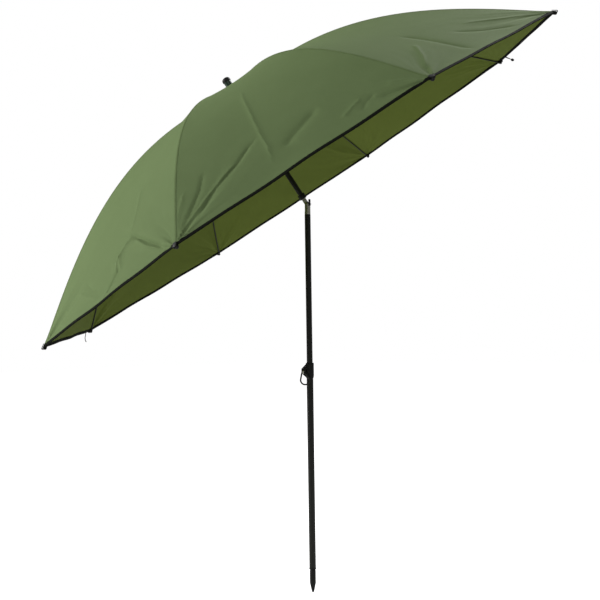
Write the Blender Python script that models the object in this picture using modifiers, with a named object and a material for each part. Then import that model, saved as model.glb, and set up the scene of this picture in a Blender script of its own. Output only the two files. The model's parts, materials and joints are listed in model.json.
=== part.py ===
"""Fishing umbrella with a ground spike, a telescopic pole, a notched tilt joint and a ribbed canopy.

The origin is the tip of the spike and the pole stands along +Z. The head leans towards -X at rest.
Every piece is one object. Turned pieces are profiles spun by a Screw modifier, rods are curves with a
bevel, flat pieces are filled curves with an extrude, and holes and slots are cut by hidden cutters.
The ribs bend by one formula, and the canopy, the hem and the stretchers all take their places from it.
"""

import math

import bmesh
import bpy
from mathutils import Matrix, Vector

MM = 0.001
DEGREE = math.pi / 180
QUARTER_TURN = math.pi / 2
HALF_TURN = math.pi
FULL_TURN = 2 * math.pi

# Clearances
FIT_GAP = 0.3 * MM
HOLE_GAP = 0.4 * MM
OVERRUN = 3 * MM
WELD = 0.002 * MM
SEAT_OVERLAP = 1.2 * MM

# Ground spike
SPIKE_TIP_RADIUS = 4 * MM
SPIKE_RADIUS = 11.5 * MM
SPIKE_CONE_HEIGHT = 34 * MM
SPIKE_SHOULDER_HEIGHT = 88 * MM
SPIKE_SHOULDER_RADIUS = 13.5 * MM
SPIKE_SHOULDER_THICKNESS = 4 * MM
SPIKE_SPIGOT_LENGTH = 55 * MM
SPIKE_SPIGOT_CHAMFER = 2 * MM
SPIKE_PIN_DEPTH = 24 * MM

# Poles
OUTER_POLE_RADIUS = 12.5 * MM
OUTER_POLE_WALL = 1.2 * MM
OUTER_POLE_LENGTH = 770 * MM
OUTER_POLE_SLIT_LENGTH = 60 * MM
INNER_POLE_WALL = 1.0 * MM
INNER_POLE_LENGTH = 860 * MM
INNER_PLUG_LENGTH = 22 * MM
INNER_PLUG_LIP = 2.5 * MM
UPPER_POLE_RADIUS = 9.5 * MM
UPPER_POLE_WALL = 1.0 * MM
PIN_RADIUS = 1.8 * MM

# Clamp that holds the inner pole in the outer one
CLAMP_RADIUS = 15.2 * MM
CLAMP_HEIGHT = 52 * MM
CLAMP_LIP = 4 * MM
CLAMP_EDGE = 1.6 * MM
CLAMP_TAPER_LENGTH = 8 * MM
EAR_REACH = 26 * MM
EAR_DROP = 28 * MM
EAR_END_ABOVE = 8 * MM
EAR_END_BELOW = 3.4 * MM
EAR_END_RADIUS = 5.5 * MM
EAR_WIDTH = 14 * MM
EAR_ROOT_BELOW = 50 * MM
CLAMP_SLIT = 2.4 * MM
CLAMP_SCREW_RADIUS = 3 * MM
CLAMP_SCREW_HEAD_RADIUS = 5 * MM
CLAMP_SCREW_HEAD_THICKNESS = 2.2 * MM
SCREW_EYE_RADIUS = 6.8 * MM
SCREW_EYE_THICKNESS = 4 * MM
CLAMP_NUT_RADIUS = 5.6 * MM
CLAMP_NUT_THICKNESS = 4.6 * MM

# Ring that turns the clamp screw
RING_WIRE_RADIUS = 2.9 * MM
RING_TOP_RADIUS = 5 * MM
RING_BOTTOM_RADIUS = 17 * MM
RING_SIDE_SHIFT = 7.5 * MM
RING_CENTRE_DROP = 24.3 * MM
RING_EYE_PLAY = 0.9 * MM

# Tilt joint
PIVOT_HEIGHT = 1457 * MM
TILT_STEP = 16.2 * DEGREE
TILT_NOTCHES = 4
REST_NOTCH = 2
FORK_RADIUS = 10.8 * MM
FORK_BELOW = 35.5 * MM
FORK_TANG_LENGTH = 40 * MM
FORK_SLOT_BELOW = 25 * MM
FORK_WEB = 1.8 * MM
FORK_CHEEK_ABOVE = 10 * MM
FORK_POST_ABOVE = 15 * MM
FORK_POST_DEPTH = 6.8 * MM
FORK_CAP_HEIGHT = 5.2 * MM
FORK_CAP_EDGE = 1.8 * MM
TONGUE_THICKNESS = 8 * MM
TONGUE_EYE_RADIUS = 7.6 * MM
NOTCH_RADIUS = 0.8 * MM
NOTCH_OUTSET = 0.15 * MM
PIVOT_RADIUS = 3 * MM
PIVOT_HEAD_RADIUS = 4.5 * MM
PIVOT_HEAD_THICKNESS = 1.8 * MM
PIVOT_HALF_LENGTH = 9.2 * MM
FORK_RIVET_BELOW = 30.2 * MM
FORK_RIVET_RADIUS = 2.9 * MM
FORK_RIVET_HEAD = 0.8 * MM
FORK_PIN_BELOW = 54 * MM
LATCH_THICKNESS = 0.8 * MM
LATCH_WIDTH = 7 * MM
LATCH_ABOVE = 12 * MM
LATCH_FOOT_GAP = 3 * MM
LATCH_RIVET_BELOW = 17 * MM
LATCH_RIVET_RADIUS = 1.6 * MM
LATCH_NOSE_RADIUS = 0.5 * MM
LATCH_NUB_RADIUS = 1.6 * MM
LATCH_NUB_ABOVE = 2.5 * MM
LATCH_NUB_REACH = 14 * MM

# Head, measured along its own axis from the tilt pivot
COLLAR_ABOVE = 26 * MM
COLLAR_HEIGHT = 20 * MM
COLLAR_RADIUS = 13.6 * MM
COLLAR_EDGE = 2 * MM
TONGUE_SHOULDER = 3.7 * MM
TONGUE_SPIGOT_LENGTH = 45 * MM
TONGUE_PIN_ABOVE = 12 * MM
CROWN_PIVOT_ABOVE = 490 * MM
CROWN_RADIUS = 20 * MM
CROWN_ABOVE_PIVOT = 6 * MM
CROWN_BELOW_PIVOT = 12 * MM
CROWN_LIP = 3.7 * MM
CROWN_EDGE = 1.5 * MM
HINGE_RING_RADIUS = 16 * MM
HINGE_WIRE_RADIUS = 0.9 * MM
HINGE_EYE_RADIUS = 3.2 * MM
HINGE_EYE_THICKNESS = 3.2 * MM
HINGE_EYE_OPENS = 55 * DEGREE
HINGE_PLATE_LENGTH = 8 * MM
FERRULE_FLANGE_RADIUS = 17 * MM
FERRULE_FLANGE_THICKNESS = 3 * MM
FERRULE_RADIUS = 14 * MM
FERRULE_HEIGHT = 47 * MM
FERRULE_STEM_BELOW = 30 * MM
FERRULE_CAP_HEIGHT = 17 * MM
FERRULE_CAP_SKIRT = 6 * MM

# Runner and its catch
RUNNER_BELOW_CROWN = 170 * MM
RUNNER_HEAD_HALF = 7 * MM
RUNNER_SLEEVE_RADIUS = 12.6 * MM
RUNNER_SLEEVE_BELOW = 50 * MM
RUNNER_GRIP_RADIUS = 15.5 * MM
RUNNER_GRIP_HEIGHT = 7 * MM
RUNNER_NECK_DROP = 8 * MM
RUNNER_FOLD_CLEARANCE = 4 * MM
CATCH_THICKNESS = 0.8 * MM
CATCH_WIDTH = 5 * MM
CATCH_LENGTH = 64 * MM
CATCH_WALL_GAP = 0.6 * MM
CATCH_NOSE_WIDTH = 3.6 * MM
CATCH_NOSE_HEIGHT = 8 * MM
CATCH_NOSE_REACH = 2.6 * MM
CATCH_RIVET_RADIUS = 1.5 * MM
CATCH_RIVET_UP = 6 * MM

# Ribs
RIB_COUNT = 8
RIB_LENGTH = 1194 * MM
RIB_RADIUS = 2.5 * MM
RIB_START_SLOPE = -4 * DEGREE
RIB_END_SLOPE = 38.5 * DEGREE
RIB_BEND_EARLY_SHARE = 0.72
RIB_SEGMENTS = 16
RIB_SIDES_RESOLUTION = 1
RIVET_ALONG_RIB = 385 * MM
RIVET_BELOW_RIB = 5 * MM
SADDLE_LENGTH = 14 * MM
SADDLE_WIDTH = 5.4 * MM
SADDLE_RADIUS = 4 * MM
RIB_CAP_RADIUS = 5.6 * MM
RIB_CAP_MOUTH_RADIUS = 4.6 * MM
RIB_CAP_BORE_DEPTH = 14 * MM
RIB_CAP_LENGTH = 20 * MM

# Stretchers
STRETCHER_RADIUS = 2.3 * MM
FORK_CHEEK_THICKNESS = 1.4 * MM
FORK_CHEEK_RADIUS = 4 * MM
FORK_END_LENGTH = 22 * MM
FORK_SLOT_LENGTH = 11 * MM
RIVET_HEAD_RADIUS = 2.6 * MM
RIVET_HEAD_THICKNESS = 1.1 * MM

# Canopy
CLOTH_THICKNESS = 1.6 * MM
CLOTH_SAG = 12 * MM
CLOTH_CENTRE_HOLE_RADIUS = 9.5 * MM
CLOTH_SETTLES_AT = 140 * MM
CLOTH_CELLS_ACROSS = 6
FIRST_ROW_END = 1 / RIB_SEGMENTS
HEM_PAST_RIB = 2 * MM
CAP_RISE_LENGTH = 74 * MM

# Cords at the far corners of the hem
TIE_RADIUS = 1.5 * MM
TIE_FROM_CORNER = 95 * MM
TIE_SEAM = 6 * MM
TIE_POINTS = 9
PULL_LOOP_RADIUS = 1.25 * MM
PULL_LOOP_REACH = 20 * MM
PULL_LOOP_HALF_WIDTH = 3.6 * MM
PULL_LOOP_FROM_CORNER = 85 * MM
PULL_LOOP_POINTS = 11
PULL_LOOP_SEAT = 0.7 * MM
PULL_LOOP_DROP = 22 * DEGREE
TOGGLE_RADIUS = 5.5 * MM
TOGGLE_LENGTH = 15 * MM
TOGGLE_NECK_RADIUS = 2 * MM

# Facets
ROUND_STEPS = 24
SMALL_STEPS = 16
WIRE_STEPS = 32
WIRE_RESOLUTION = 1
ARC_STEPS = 8
RIB_CAP_SIDES = 10
SMOOTH_ANGLE = 35 * DEGREE

# Sizes that follow from the ones above
OUTER_POLE_BOTTOM = SPIKE_SHOULDER_HEIGHT + SPIKE_SHOULDER_THICKNESS + FIT_GAP
OUTER_POLE_TOP = OUTER_POLE_BOTTOM + OUTER_POLE_LENGTH
OUTER_POLE_BORE = OUTER_POLE_RADIUS - OUTER_POLE_WALL
INNER_POLE_RADIUS = OUTER_POLE_BORE - FIT_GAP
INNER_POLE_BORE = INNER_POLE_RADIUS - INNER_POLE_WALL
INNER_POLE_TOP = PIVOT_HEIGHT - FORK_BELOW - FIT_GAP
INNER_POLE_BOTTOM = INNER_POLE_TOP - INNER_POLE_LENGTH
REST_TILT = REST_NOTCH * TILT_STEP
UPPER_POLE_BORE = UPPER_POLE_RADIUS - UPPER_POLE_WALL
UPPER_POLE_FOOT = COLLAR_ABOVE + TONGUE_SHOULDER + FIT_GAP
SPIGOT_RADIUS = UPPER_POLE_BORE - FIT_GAP
SLEEVE_BORE = UPPER_POLE_RADIUS + FIT_GAP
CROWN_TOP = CROWN_PIVOT_ABOVE + CROWN_ABOVE_PIVOT
UPPER_POLE_TOP = CROWN_TOP - CROWN_LIP - FIT_GAP
CLOTH_CENTRE = CROWN_TOP + FIT_GAP + CLOTH_THICKNESS / 2
FERRULE_FOOT = CLOTH_CENTRE + CLOTH_THICKNESS / 2 + FIT_GAP
FERRULE_TOP = FERRULE_FOOT + FERRULE_FLANGE_THICKNESS + FERRULE_HEIGHT
HINGE_SLOT_WIDTH = HINGE_EYE_THICKNESS + 2 * FIT_GAP
HINGE_SLOT_INNER = HINGE_RING_RADIUS - HINGE_EYE_RADIUS - HOLE_GAP
HINGE_EYE_HOLE = HINGE_WIRE_RADIUS + HOLE_GAP
RUNNER_PIVOT_ABOVE = CROWN_PIVOT_ABOVE - RUNNER_BELOW_CROWN
RUNNER_FOOT = RUNNER_PIVOT_ABOVE - RUNNER_SLEEVE_BELOW
RUNNER_TRAVEL = RUNNER_FOOT - COLLAR_ABOVE - COLLAR_HEIGHT - RUNNER_FOLD_CLEARANCE
FORK_WEB_FACE = FORK_RADIUS - FORK_WEB
LATCH_OUTER_FACE = FORK_WEB_FACE - FIT_GAP
LATCH_INNER_FACE = LATCH_OUTER_FACE - LATCH_THICKNESS
EAR_HEIGHT = OUTER_POLE_TOP - EAR_DROP
RING_PLANE = CLAMP_RADIUS + RING_WIRE_RADIUS + HOLE_GAP + FIT_GAP
RIB_ANGLES = [FULL_TURN * (n + 0.5) / RIB_COUNT for n in range(RIB_COUNT)]
CLOTH_ABOVE_RIB = RIB_RADIUS + FIT_GAP + CLOTH_THICKNESS / 2
CAP_SEAT = RIB_LENGTH - RIB_CAP_BORE_DEPTH + FIT_GAP
HEM_ALONG_RIB = RIB_LENGTH + HEM_PAST_RIB
CLOTH_ABOVE_CAP = RIB_CAP_RADIUS + 2 * FIT_GAP + CLOTH_THICKNESS / 2

# Places of the far ribs that carry the cords: the left one and the right one
TIE_RIB_INDEX = 3
PULL_RIB_INDEX = 0

# The tie's free part, as world steps down from the hem
TIE_ROUTE = [
    Vector((-0.8, 0.0, -8.0)) * MM,
    Vector((-3.0, 0.4, -18.0)) * MM,
    Vector((-2.4, 1.0, -28.0)) * MM,
    Vector((1.0, 1.6, -37.0)) * MM,
]


def clear_scene():
    """Remove every object that the file opened with."""
    for obj in list(bpy.data.objects):
        bpy.data.objects.remove(obj, do_unlink=True)


def new_collection(name):
    collection = bpy.data.collections.new(name)
    bpy.context.scene.collection.children.link(collection)
    return collection


def new_material(name, colour, roughness, metallic=0.0):
    material = bpy.data.materials.new(name)
    material.use_nodes = True
    shader = material.node_tree.nodes["Principled BSDF"]
    shader.inputs["Base Color"].default_value = (*colour, 1.0)
    shader.inputs["Roughness"].default_value = roughness
    shader.inputs["Metallic"].default_value = metallic
    return material


clear_scene()
PARTS = new_collection("fishing_umbrella")
CUTTERS = new_collection("cutters")

BLACK_PAINT = new_material("black_paint", (0.012, 0.013, 0.010), 0.38, 0.3)
PLATED_STEEL = new_material("plated_steel", (0.62, 0.62, 0.57), 0.24, 1.0)
BLACK_PLASTIC = new_material("black_plastic", (0.014, 0.014, 0.014), 0.45)
GREEN_PLASTIC = new_material("green_plastic", (0.018, 0.045, 0.026), 0.4)
SPRING_STEEL = new_material("spring_steel", (0.45, 0.45, 0.44), 0.3, 1.0)
GREEN_CLOTH = new_material("green_cloth", (0.19, 0.26, 0.12), 0.7)
GREY_CORD = new_material("grey_cord", (0.35, 0.36, 0.34), 0.8)
BLACK_CORD = new_material("black_cord", (0.03, 0.03, 0.03), 0.8)


# Joint axes, as empties that their moving pieces hang from
def new_axis(name, parent=None, place=(0, 0, 0), turn=(0, 0, 0)):
    axis = bpy.data.objects.new(name, None)
    axis.empty_display_size = EAR_REACH
    axis.location = place
    axis.rotation_euler = turn
    axis.parent = parent
    PARTS.objects.link(axis)
    return axis


def add(name, data, collection=PARTS, material=None, parent=None, place=(0, 0, 0), turn=(0, 0, 0)):
    obj = bpy.data.objects.new(name, data)
    collection.objects.link(obj)
    obj.parent = parent
    obj.location = place
    obj.rotation_euler = turn
    if material is not None:
        obj.data.materials.clear()
        obj.data.materials.append(material)
    return obj


def hide_cutter(obj):
    obj.hide_render = True
    obj.display_type = "WIRE"
    for collection in list(obj.users_collection):
        collection.objects.unlink(obj)
    CUTTERS.objects.link(obj)
    return obj


def set_smooth(mesh):
    mesh.shade_smooth()
    mesh.set_sharp_from_angle(angle=SMOOTH_ANGLE)


# Shapes
def profile_mesh(name, points, closed):
    """A mesh of one chain of edges in the XZ plane."""
    count = len(points)
    edges = [(n, n + 1) for n in range(count - 1)]
    if closed:
        edges.append((count - 1, 0))
    mesh = bpy.data.meshes.new(name)
    mesh.from_pydata([(x, 0.0, z) for x, z in points], edges, [])
    return mesh


def turned(name, points, closed=False, steps=ROUND_STEPS, **place):
    """A piece turned about Z from (radius, height) points that run down its outer side."""
    obj = add(name, profile_mesh(name, points, closed), **place)
    screw = obj.modifiers.new("Turn", "SCREW")
    screw.steps = steps
    screw.render_steps = steps
    screw.use_merge_vertices = True
    screw.merge_threshold = WELD
    screw.use_smooth_shade = True
    return obj


def tube(name, radius, bore, low, high, **place):
    return turned(name, [(radius, high), (radius, low), (bore, low), (bore, high)], closed=True, **place)


def rod(name, radius, low, high, **place):
    return turned(name, [(0, high), (radius, high), (radius, low), (0, low)], **place)


def block(name, low, high, **place):
    """A box between two corners."""
    mesh = bpy.data.meshes.new(name)
    shape = bmesh.new()
    bmesh.ops.create_cube(shape, size=1.0)
    size = Vector(high) - Vector(low)
    middle = (Vector(high) + Vector(low)) / 2
    bmesh.ops.transform(shape, matrix=Matrix.Diagonal((*size, 1.0)), verts=shape.verts)
    bmesh.ops.translate(shape, vec=middle, verts=shape.verts)
    shape.to_mesh(mesh)
    shape.free()
    return add(name, mesh, **place)


def flat(name, outline, thickness, **place):
    """A plate in the XZ plane, as thick along Y as it says, from a filled curve."""
    curve = bpy.data.curves.new(name, "CURVE")
    curve.dimensions = "2D"
    curve.fill_mode = "BOTH"
    curve.extrude = thickness / 2
    spline = curve.splines.new("POLY")
    spline.points.add(len(outline) - 1)
    for point, (x, z) in zip(spline.points, outline):
        point.co = (x, z, 0, 1)
    spline.use_cyclic_u = True
    flat_curve = add(name, curve)
    mesh = evaluated_mesh(flat_curve, name)
    bpy.data.objects.remove(flat_curve)
    mesh.transform(Matrix.Rotation(QUARTER_TURN, 4, "X"))
    return add(name, mesh, **place)


def wire(name, points, radius, resolution=WIRE_RESOLUTION, cyclic=False, **place):
    """A round bar along a chain of points."""
    curve = bpy.data.curves.new(name, "CURVE")
    curve.dimensions = "3D"
    curve.bevel_depth = radius
    curve.bevel_resolution = resolution
    curve.use_fill_caps = not cyclic
    spline = curve.splines.new("POLY")
    spline.points.add(len(points) - 1)
    for point, at in zip(spline.points, points):
        point.co = (*at, 1)
    spline.use_cyclic_u = cyclic
    bar = add(name, curve)
    mesh = evaluated_mesh(bar, name)
    bpy.data.objects.remove(bar)
    return add(name, mesh, **place)


def evaluated_mesh(obj, name):
    """The object's shape with its modifiers, as a closed mesh of its own, in its own space."""
    bpy.context.view_layer.update()
    graph = bpy.context.evaluated_depsgraph_get()
    mesh = bpy.data.meshes.new_from_object(obj.evaluated_get(graph), depsgraph=graph)
    mesh.name = name
    shape = bmesh.new()
    shape.from_mesh(mesh)
    bmesh.ops.remove_doubles(shape, verts=shape.verts, dist=WELD)
    shape.to_mesh(mesh)
    shape.free()
    return mesh


def arc(centre, radius, start, end, steps=ARC_STEPS):
    """Points round part of a circle, from one angle to another."""
    return [
        (
            centre[0] + radius * math.cos(start + (end - start) * n / steps),
            centre[1] + radius * math.sin(start + (end - start) * n / steps),
        )
        for n in range(steps + 1)
    ]


def belt(low_centre, low_radius, high_centre, high_radius, steps=ARC_STEPS):
    """The outline of a belt round two circles, the first of them the lower one."""
    along = Vector(high_centre) - Vector(low_centre)
    lean = math.atan2(along.y, along.x)
    spread = math.acos((low_radius - high_radius) / along.length)
    low = arc(low_centre, low_radius, lean + spread, lean + FULL_TURN - spread, 2 * steps)
    high = arc(high_centre, high_radius, lean - spread, lean + spread, steps)
    return low + high


# Joining and cutting
def boolean(obj, other, operation):
    modifier = obj.modifiers.new(operation.title(), "BOOLEAN")
    modifier.operation = operation
    modifier.solver = "EXACT"
    modifier.object = hide_cutter(other)


def cut(obj, *cutters):
    for cutter in cutters:
        boolean(obj, cutter, "DIFFERENCE")


def join(obj, *others):
    for other in others:
        boolean(obj, other, "UNION")


def placed_copy(mesh, name, material, parent, place=(0, 0, 0), turn=(0, 0, 0)):
    """A piece of its own that shares a finished mesh."""
    obj = bpy.data.objects.new(name, mesh)
    PARTS.objects.link(obj)
    obj.parent = parent
    obj.location = place
    obj.rotation_euler = turn
    if not mesh.materials:
        mesh.materials.append(material)
    return obj


def take_mesh(obj, name):
    """The finished mesh of a pattern piece, which is then removed with its cutters."""
    mesh = evaluated_mesh(obj, name)
    helpers = [m.object for m in obj.modifiers if m.type == "BOOLEAN"]
    bpy.data.objects.remove(obj)
    for helper in helpers:
        bpy.data.objects.remove(helper)
    set_smooth(mesh)
    return mesh


# Bent rib
def rib_places(length, count):
    """Places and slopes along a rib's middle line, from its hinge, as (out, up, slope)."""
    step = length / count
    out, up = 0.0, 0.0
    places = [(out, up, rib_slope(0.0))]
    for n in range(count):
        slope = rib_slope((n + 0.5) * step)
        out += math.cos(slope) * step
        up -= math.sin(slope) * step
        places.append((out, up, rib_slope((n + 1) * step)))
    return places


def rib_slope(along):
    """How steeply the rib falls there. It bends most near the stretcher and is straight at both ends."""
    share = min(along / RIB_LENGTH, 1.0) ** RIB_BEND_EARLY_SHARE
    eased = (1 - math.cos(math.pi * share)) / 2
    return RIB_START_SLOPE + (RIB_END_SLOPE - RIB_START_SLOPE) * eased


def rib_place(along, count=RIB_SEGMENTS * 4):
    return rib_places(along, count)[-1]


def rivet_place():
    """The stretcher's rivet, as (out, up) from the rib's hinge."""
    out, up, slope = rib_place(RIVET_ALONG_RIB)
    return out - RIVET_BELOW_RIB * math.sin(slope), up - RIVET_BELOW_RIB * math.cos(slope)


def cloth_place(along):
    """The cloth's middle over a rib, as (radius, height) in the head's frame."""
    out, up, slope = rib_place(along)
    settled = min(along / CLOTH_SETTLES_AT, 1.0)
    eased = settled * settled * (3 - 2 * settled)
    centre_offset = CLOTH_CENTRE - CROWN_PIVOT_ABOVE
    offset = centre_offset + (CLOTH_ABOVE_RIB - centre_offset) * eased
    rise = max(along - HEM_ALONG_RIB + CAP_RISE_LENGTH, 0.0) / CAP_RISE_LENGTH
    offset += (CLOTH_ABOVE_CAP - CLOTH_ABOVE_RIB) * rise
    return (
        HINGE_RING_RADIUS + out + offset * math.sin(slope) * eased,
        CROWN_PIVOT_ABOVE + up + offset * (eased * math.cos(slope) + 1 - eased),
    )


# Sub-assemblies
def build_ground_end():
    """Spike, outer pole and the pin that holds the spike's spigot."""
    spigot = OUTER_POLE_BORE - FIT_GAP
    spigot_top = SPIKE_SHOULDER_HEIGHT + SPIKE_SHOULDER_THICKNESS + SPIKE_SPIGOT_LENGTH
    shoulder_top = SPIKE_SHOULDER_HEIGHT + SPIKE_SHOULDER_THICKNESS
    spike = turned(
        "ground_spike",
        [
            (0, spigot_top),
            (spigot - SPIKE_SPIGOT_CHAMFER, spigot_top),
            (spigot, spigot_top - SPIKE_SPIGOT_CHAMFER),
            (spigot, shoulder_top),
            (SPIKE_SHOULDER_RADIUS, shoulder_top),
            (SPIKE_SHOULDER_RADIUS, SPIKE_SHOULDER_HEIGHT),
            (SPIKE_RADIUS, SPIKE_SHOULDER_HEIGHT),
            (SPIKE_RADIUS, SPIKE_CONE_HEIGHT),
            (SPIKE_TIP_RADIUS, 0),
            (0, 0),
        ],
        material=BLACK_PLASTIC,
    )
    pole = tube(
        "outer_pole", OUTER_POLE_RADIUS, OUTER_POLE_BORE, OUTER_POLE_BOTTOM, OUTER_POLE_TOP,
        material=BLACK_PAINT,
    )
    pin_height = OUTER_POLE_BOTTOM + SPIKE_PIN_DEPTH
    across = (QUARTER_TURN, 0, 0)
    for piece in (spike, pole):
        hole = rod(
            piece.name + "_pin_hole", PIN_RADIUS + FIT_GAP,
            -OUTER_POLE_RADIUS - OVERRUN, OUTER_POLE_RADIUS + OVERRUN,
            steps=SMALL_STEPS, place=(0, 0, pin_height), turn=across,
        )
        cut(piece, hole)
    rod(
        "spike_pin", PIN_RADIUS, -OUTER_POLE_RADIUS, OUTER_POLE_RADIUS,
        steps=SMALL_STEPS, material=PLATED_STEEL, place=(0, 0, pin_height), turn=across,
    )
    slit = block(
        "outer_pole_slit",
        (-OUTER_POLE_RADIUS - OVERRUN, -CLAMP_SLIT / 2, OUTER_POLE_TOP - OUTER_POLE_SLIT_LENGTH),
        (0, CLAMP_SLIT / 2, OUTER_POLE_TOP + OVERRUN),
    )
    cut(pole, slit)


def build_clamp():
    """Split clamp on the outer pole's top, with two ears that the ring screw draws together."""
    foot = OUTER_POLE_TOP - CLAMP_HEIGHT
    top = OUTER_POLE_TOP + FIT_GAP + CLAMP_LIP
    outer_bore = OUTER_POLE_RADIUS + FIT_GAP
    inner_bore = INNER_POLE_RADIUS + FIT_GAP
    collar = turned(
        "clamp_collar",
        [
            (CLAMP_RADIUS - CLAMP_EDGE, top),
            (CLAMP_RADIUS, top - CLAMP_EDGE),
            (CLAMP_RADIUS, foot + CLAMP_TAPER_LENGTH),
            (CLAMP_RADIUS - CLAMP_EDGE, foot),
            (outer_bore, foot),
            (outer_bore, OUTER_POLE_TOP + FIT_GAP),
            (inner_bore, OUTER_POLE_TOP + FIT_GAP),
            (inner_bore, top),
        ],
        closed=True,
        material=BLACK_PLASTIC,
    )
    root = (CLAMP_RADIUS + outer_bore) / 2
    upper_end = (-EAR_REACH, EAR_HEIGHT + EAR_END_ABOVE)
    lower_end = (-EAR_REACH, EAR_HEIGHT - EAR_END_BELOW)
    ear_foot = OUTER_POLE_TOP - EAR_ROOT_BELOW
    slant = math.atan2(lower_end[1] - ear_foot, lower_end[0] + root)
    ear = [(-root, upper_end[1] + EAR_END_RADIUS)]
    ear += arc(upper_end, EAR_END_RADIUS, QUARTER_TURN, HALF_TURN, ARC_STEPS // 2)
    ear += arc(lower_end, EAR_END_RADIUS, HALF_TURN, slant + QUARTER_TURN, ARC_STEPS // 2)
    ear += [(-root, ear_foot)]
    join(collar, flat("clamp_ears", ear, EAR_WIDTH))
    slit = block(
        "clamp_slit",
        (-EAR_REACH - EAR_END_RADIUS - OVERRUN, -CLAMP_SLIT / 2, foot - OVERRUN),
        (0, CLAMP_SLIT / 2, top + OVERRUN),
    )
    hole = rod(
        "clamp_screw_hole", CLAMP_SCREW_RADIUS + FIT_GAP, -EAR_WIDTH, EAR_WIDTH,
        steps=SMALL_STEPS, place=(-EAR_REACH, 0, EAR_HEIGHT), turn=(QUARTER_TURN, 0, 0),
    )
    cut(collar, slit, hole)
    nut_face = EAR_WIDTH / 2 + FIT_GAP
    back = {"place": (-EAR_REACH, 0, EAR_HEIGHT), "turn": (-QUARTER_TURN, 0, 0)}
    nut = rod(
        "clamp_nut", CLAMP_NUT_RADIUS, nut_face, nut_face + CLAMP_NUT_THICKNESS,
        steps=6, material=PLATED_STEEL, **back,
    )
    nut_hole = rod(
        "clamp_nut_hole", CLAMP_SCREW_RADIUS + FIT_GAP, 0, nut_face + CLAMP_NUT_THICKNESS + OVERRUN,
        steps=SMALL_STEPS, **back,
    )
    cut(nut, nut_hole)


def build_clamp_screw():
    """Screw through the ears, with an eye at its front, and the ring that hangs in the eye."""
    axis = new_axis("clamp_screw_axis", place=(-EAR_REACH, 0, EAR_HEIGHT))
    head_face = EAR_WIDTH / 2 + FIT_GAP
    tail = head_face + CLAMP_NUT_THICKNESS + CLAMP_EDGE
    screw = turned(
        "clamp_screw",
        [
            (0, RING_PLANE - SCREW_EYE_RADIUS + SEAT_OVERLAP),
            (CLAMP_SCREW_RADIUS, RING_PLANE - SCREW_EYE_RADIUS + SEAT_OVERLAP),
            (CLAMP_SCREW_RADIUS, head_face + CLAMP_SCREW_HEAD_THICKNESS),
            (CLAMP_SCREW_HEAD_RADIUS, head_face + CLAMP_SCREW_HEAD_THICKNESS),
            (CLAMP_SCREW_HEAD_RADIUS, head_face),
            (CLAMP_SCREW_RADIUS, head_face),
            (CLAMP_SCREW_RADIUS, -tail),
            (0, -tail),
        ],
        steps=SMALL_STEPS, material=PLATED_STEEL, parent=axis, turn=(QUARTER_TURN, 0, 0),
    )
    across = (0, QUARTER_TURN, 0)
    eye = rod(
        "screw_eye", SCREW_EYE_RADIUS, -SCREW_EYE_THICKNESS / 2, SCREW_EYE_THICKNESS / 2,
        steps=SMALL_STEPS, parent=axis, place=(0, -RING_PLANE, 0), turn=across,
    )
    eye_hole = rod(
        "screw_eye_hole", RING_WIRE_RADIUS + RING_EYE_PLAY, -SCREW_EYE_THICKNESS, SCREW_EYE_THICKNESS,
        steps=SMALL_STEPS, parent=axis, place=(0, -RING_PLANE, 0), turn=across,
    )
    join(screw, eye)
    cut(screw, eye_hole)
    ring_axis = new_axis("clamp_ring_axis", parent=axis, place=(0, -RING_PLANE, 0))
    outline = belt(
        (RING_SIDE_SHIFT, -RING_CENTRE_DROP - RING_TOP_RADIUS), RING_BOTTOM_RADIUS,
        (0, -RING_TOP_RADIUS), RING_TOP_RADIUS,
    )
    points = [(x, 0, z) for x, z in outline]
    ring = wire("clamp_ring", points, RING_WIRE_RADIUS, cyclic=True, material=BLACK_PAINT, parent=ring_axis)
    set_smooth(ring.data)


def build_inner_pole():
    """Inner pole, the plug at its foot and the slotted bar of the tilt joint at its top."""
    slide = new_axis("pole_slide_axis")
    pole = tube(
        "inner_pole", INNER_POLE_RADIUS, INNER_POLE_BORE, INNER_POLE_BOTTOM, INNER_POLE_TOP,
        material=BLACK_PAINT, parent=slide,
    )
    plug_radius = INNER_POLE_BORE - FIT_GAP
    lip_top = INNER_POLE_BOTTOM - FIT_GAP
    turned(
        "inner_pole_plug",
        [
            (0, lip_top + INNER_PLUG_LENGTH),
            (plug_radius, lip_top + INNER_PLUG_LENGTH),
            (plug_radius, lip_top),
            (INNER_POLE_RADIUS, lip_top),
            (INNER_POLE_RADIUS, lip_top - INNER_PLUG_LIP),
            (0, lip_top - INNER_PLUG_LIP),
        ],
        material=BLACK_PLASTIC, parent=slide,
    )
    build_fork(slide, pole)


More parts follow.
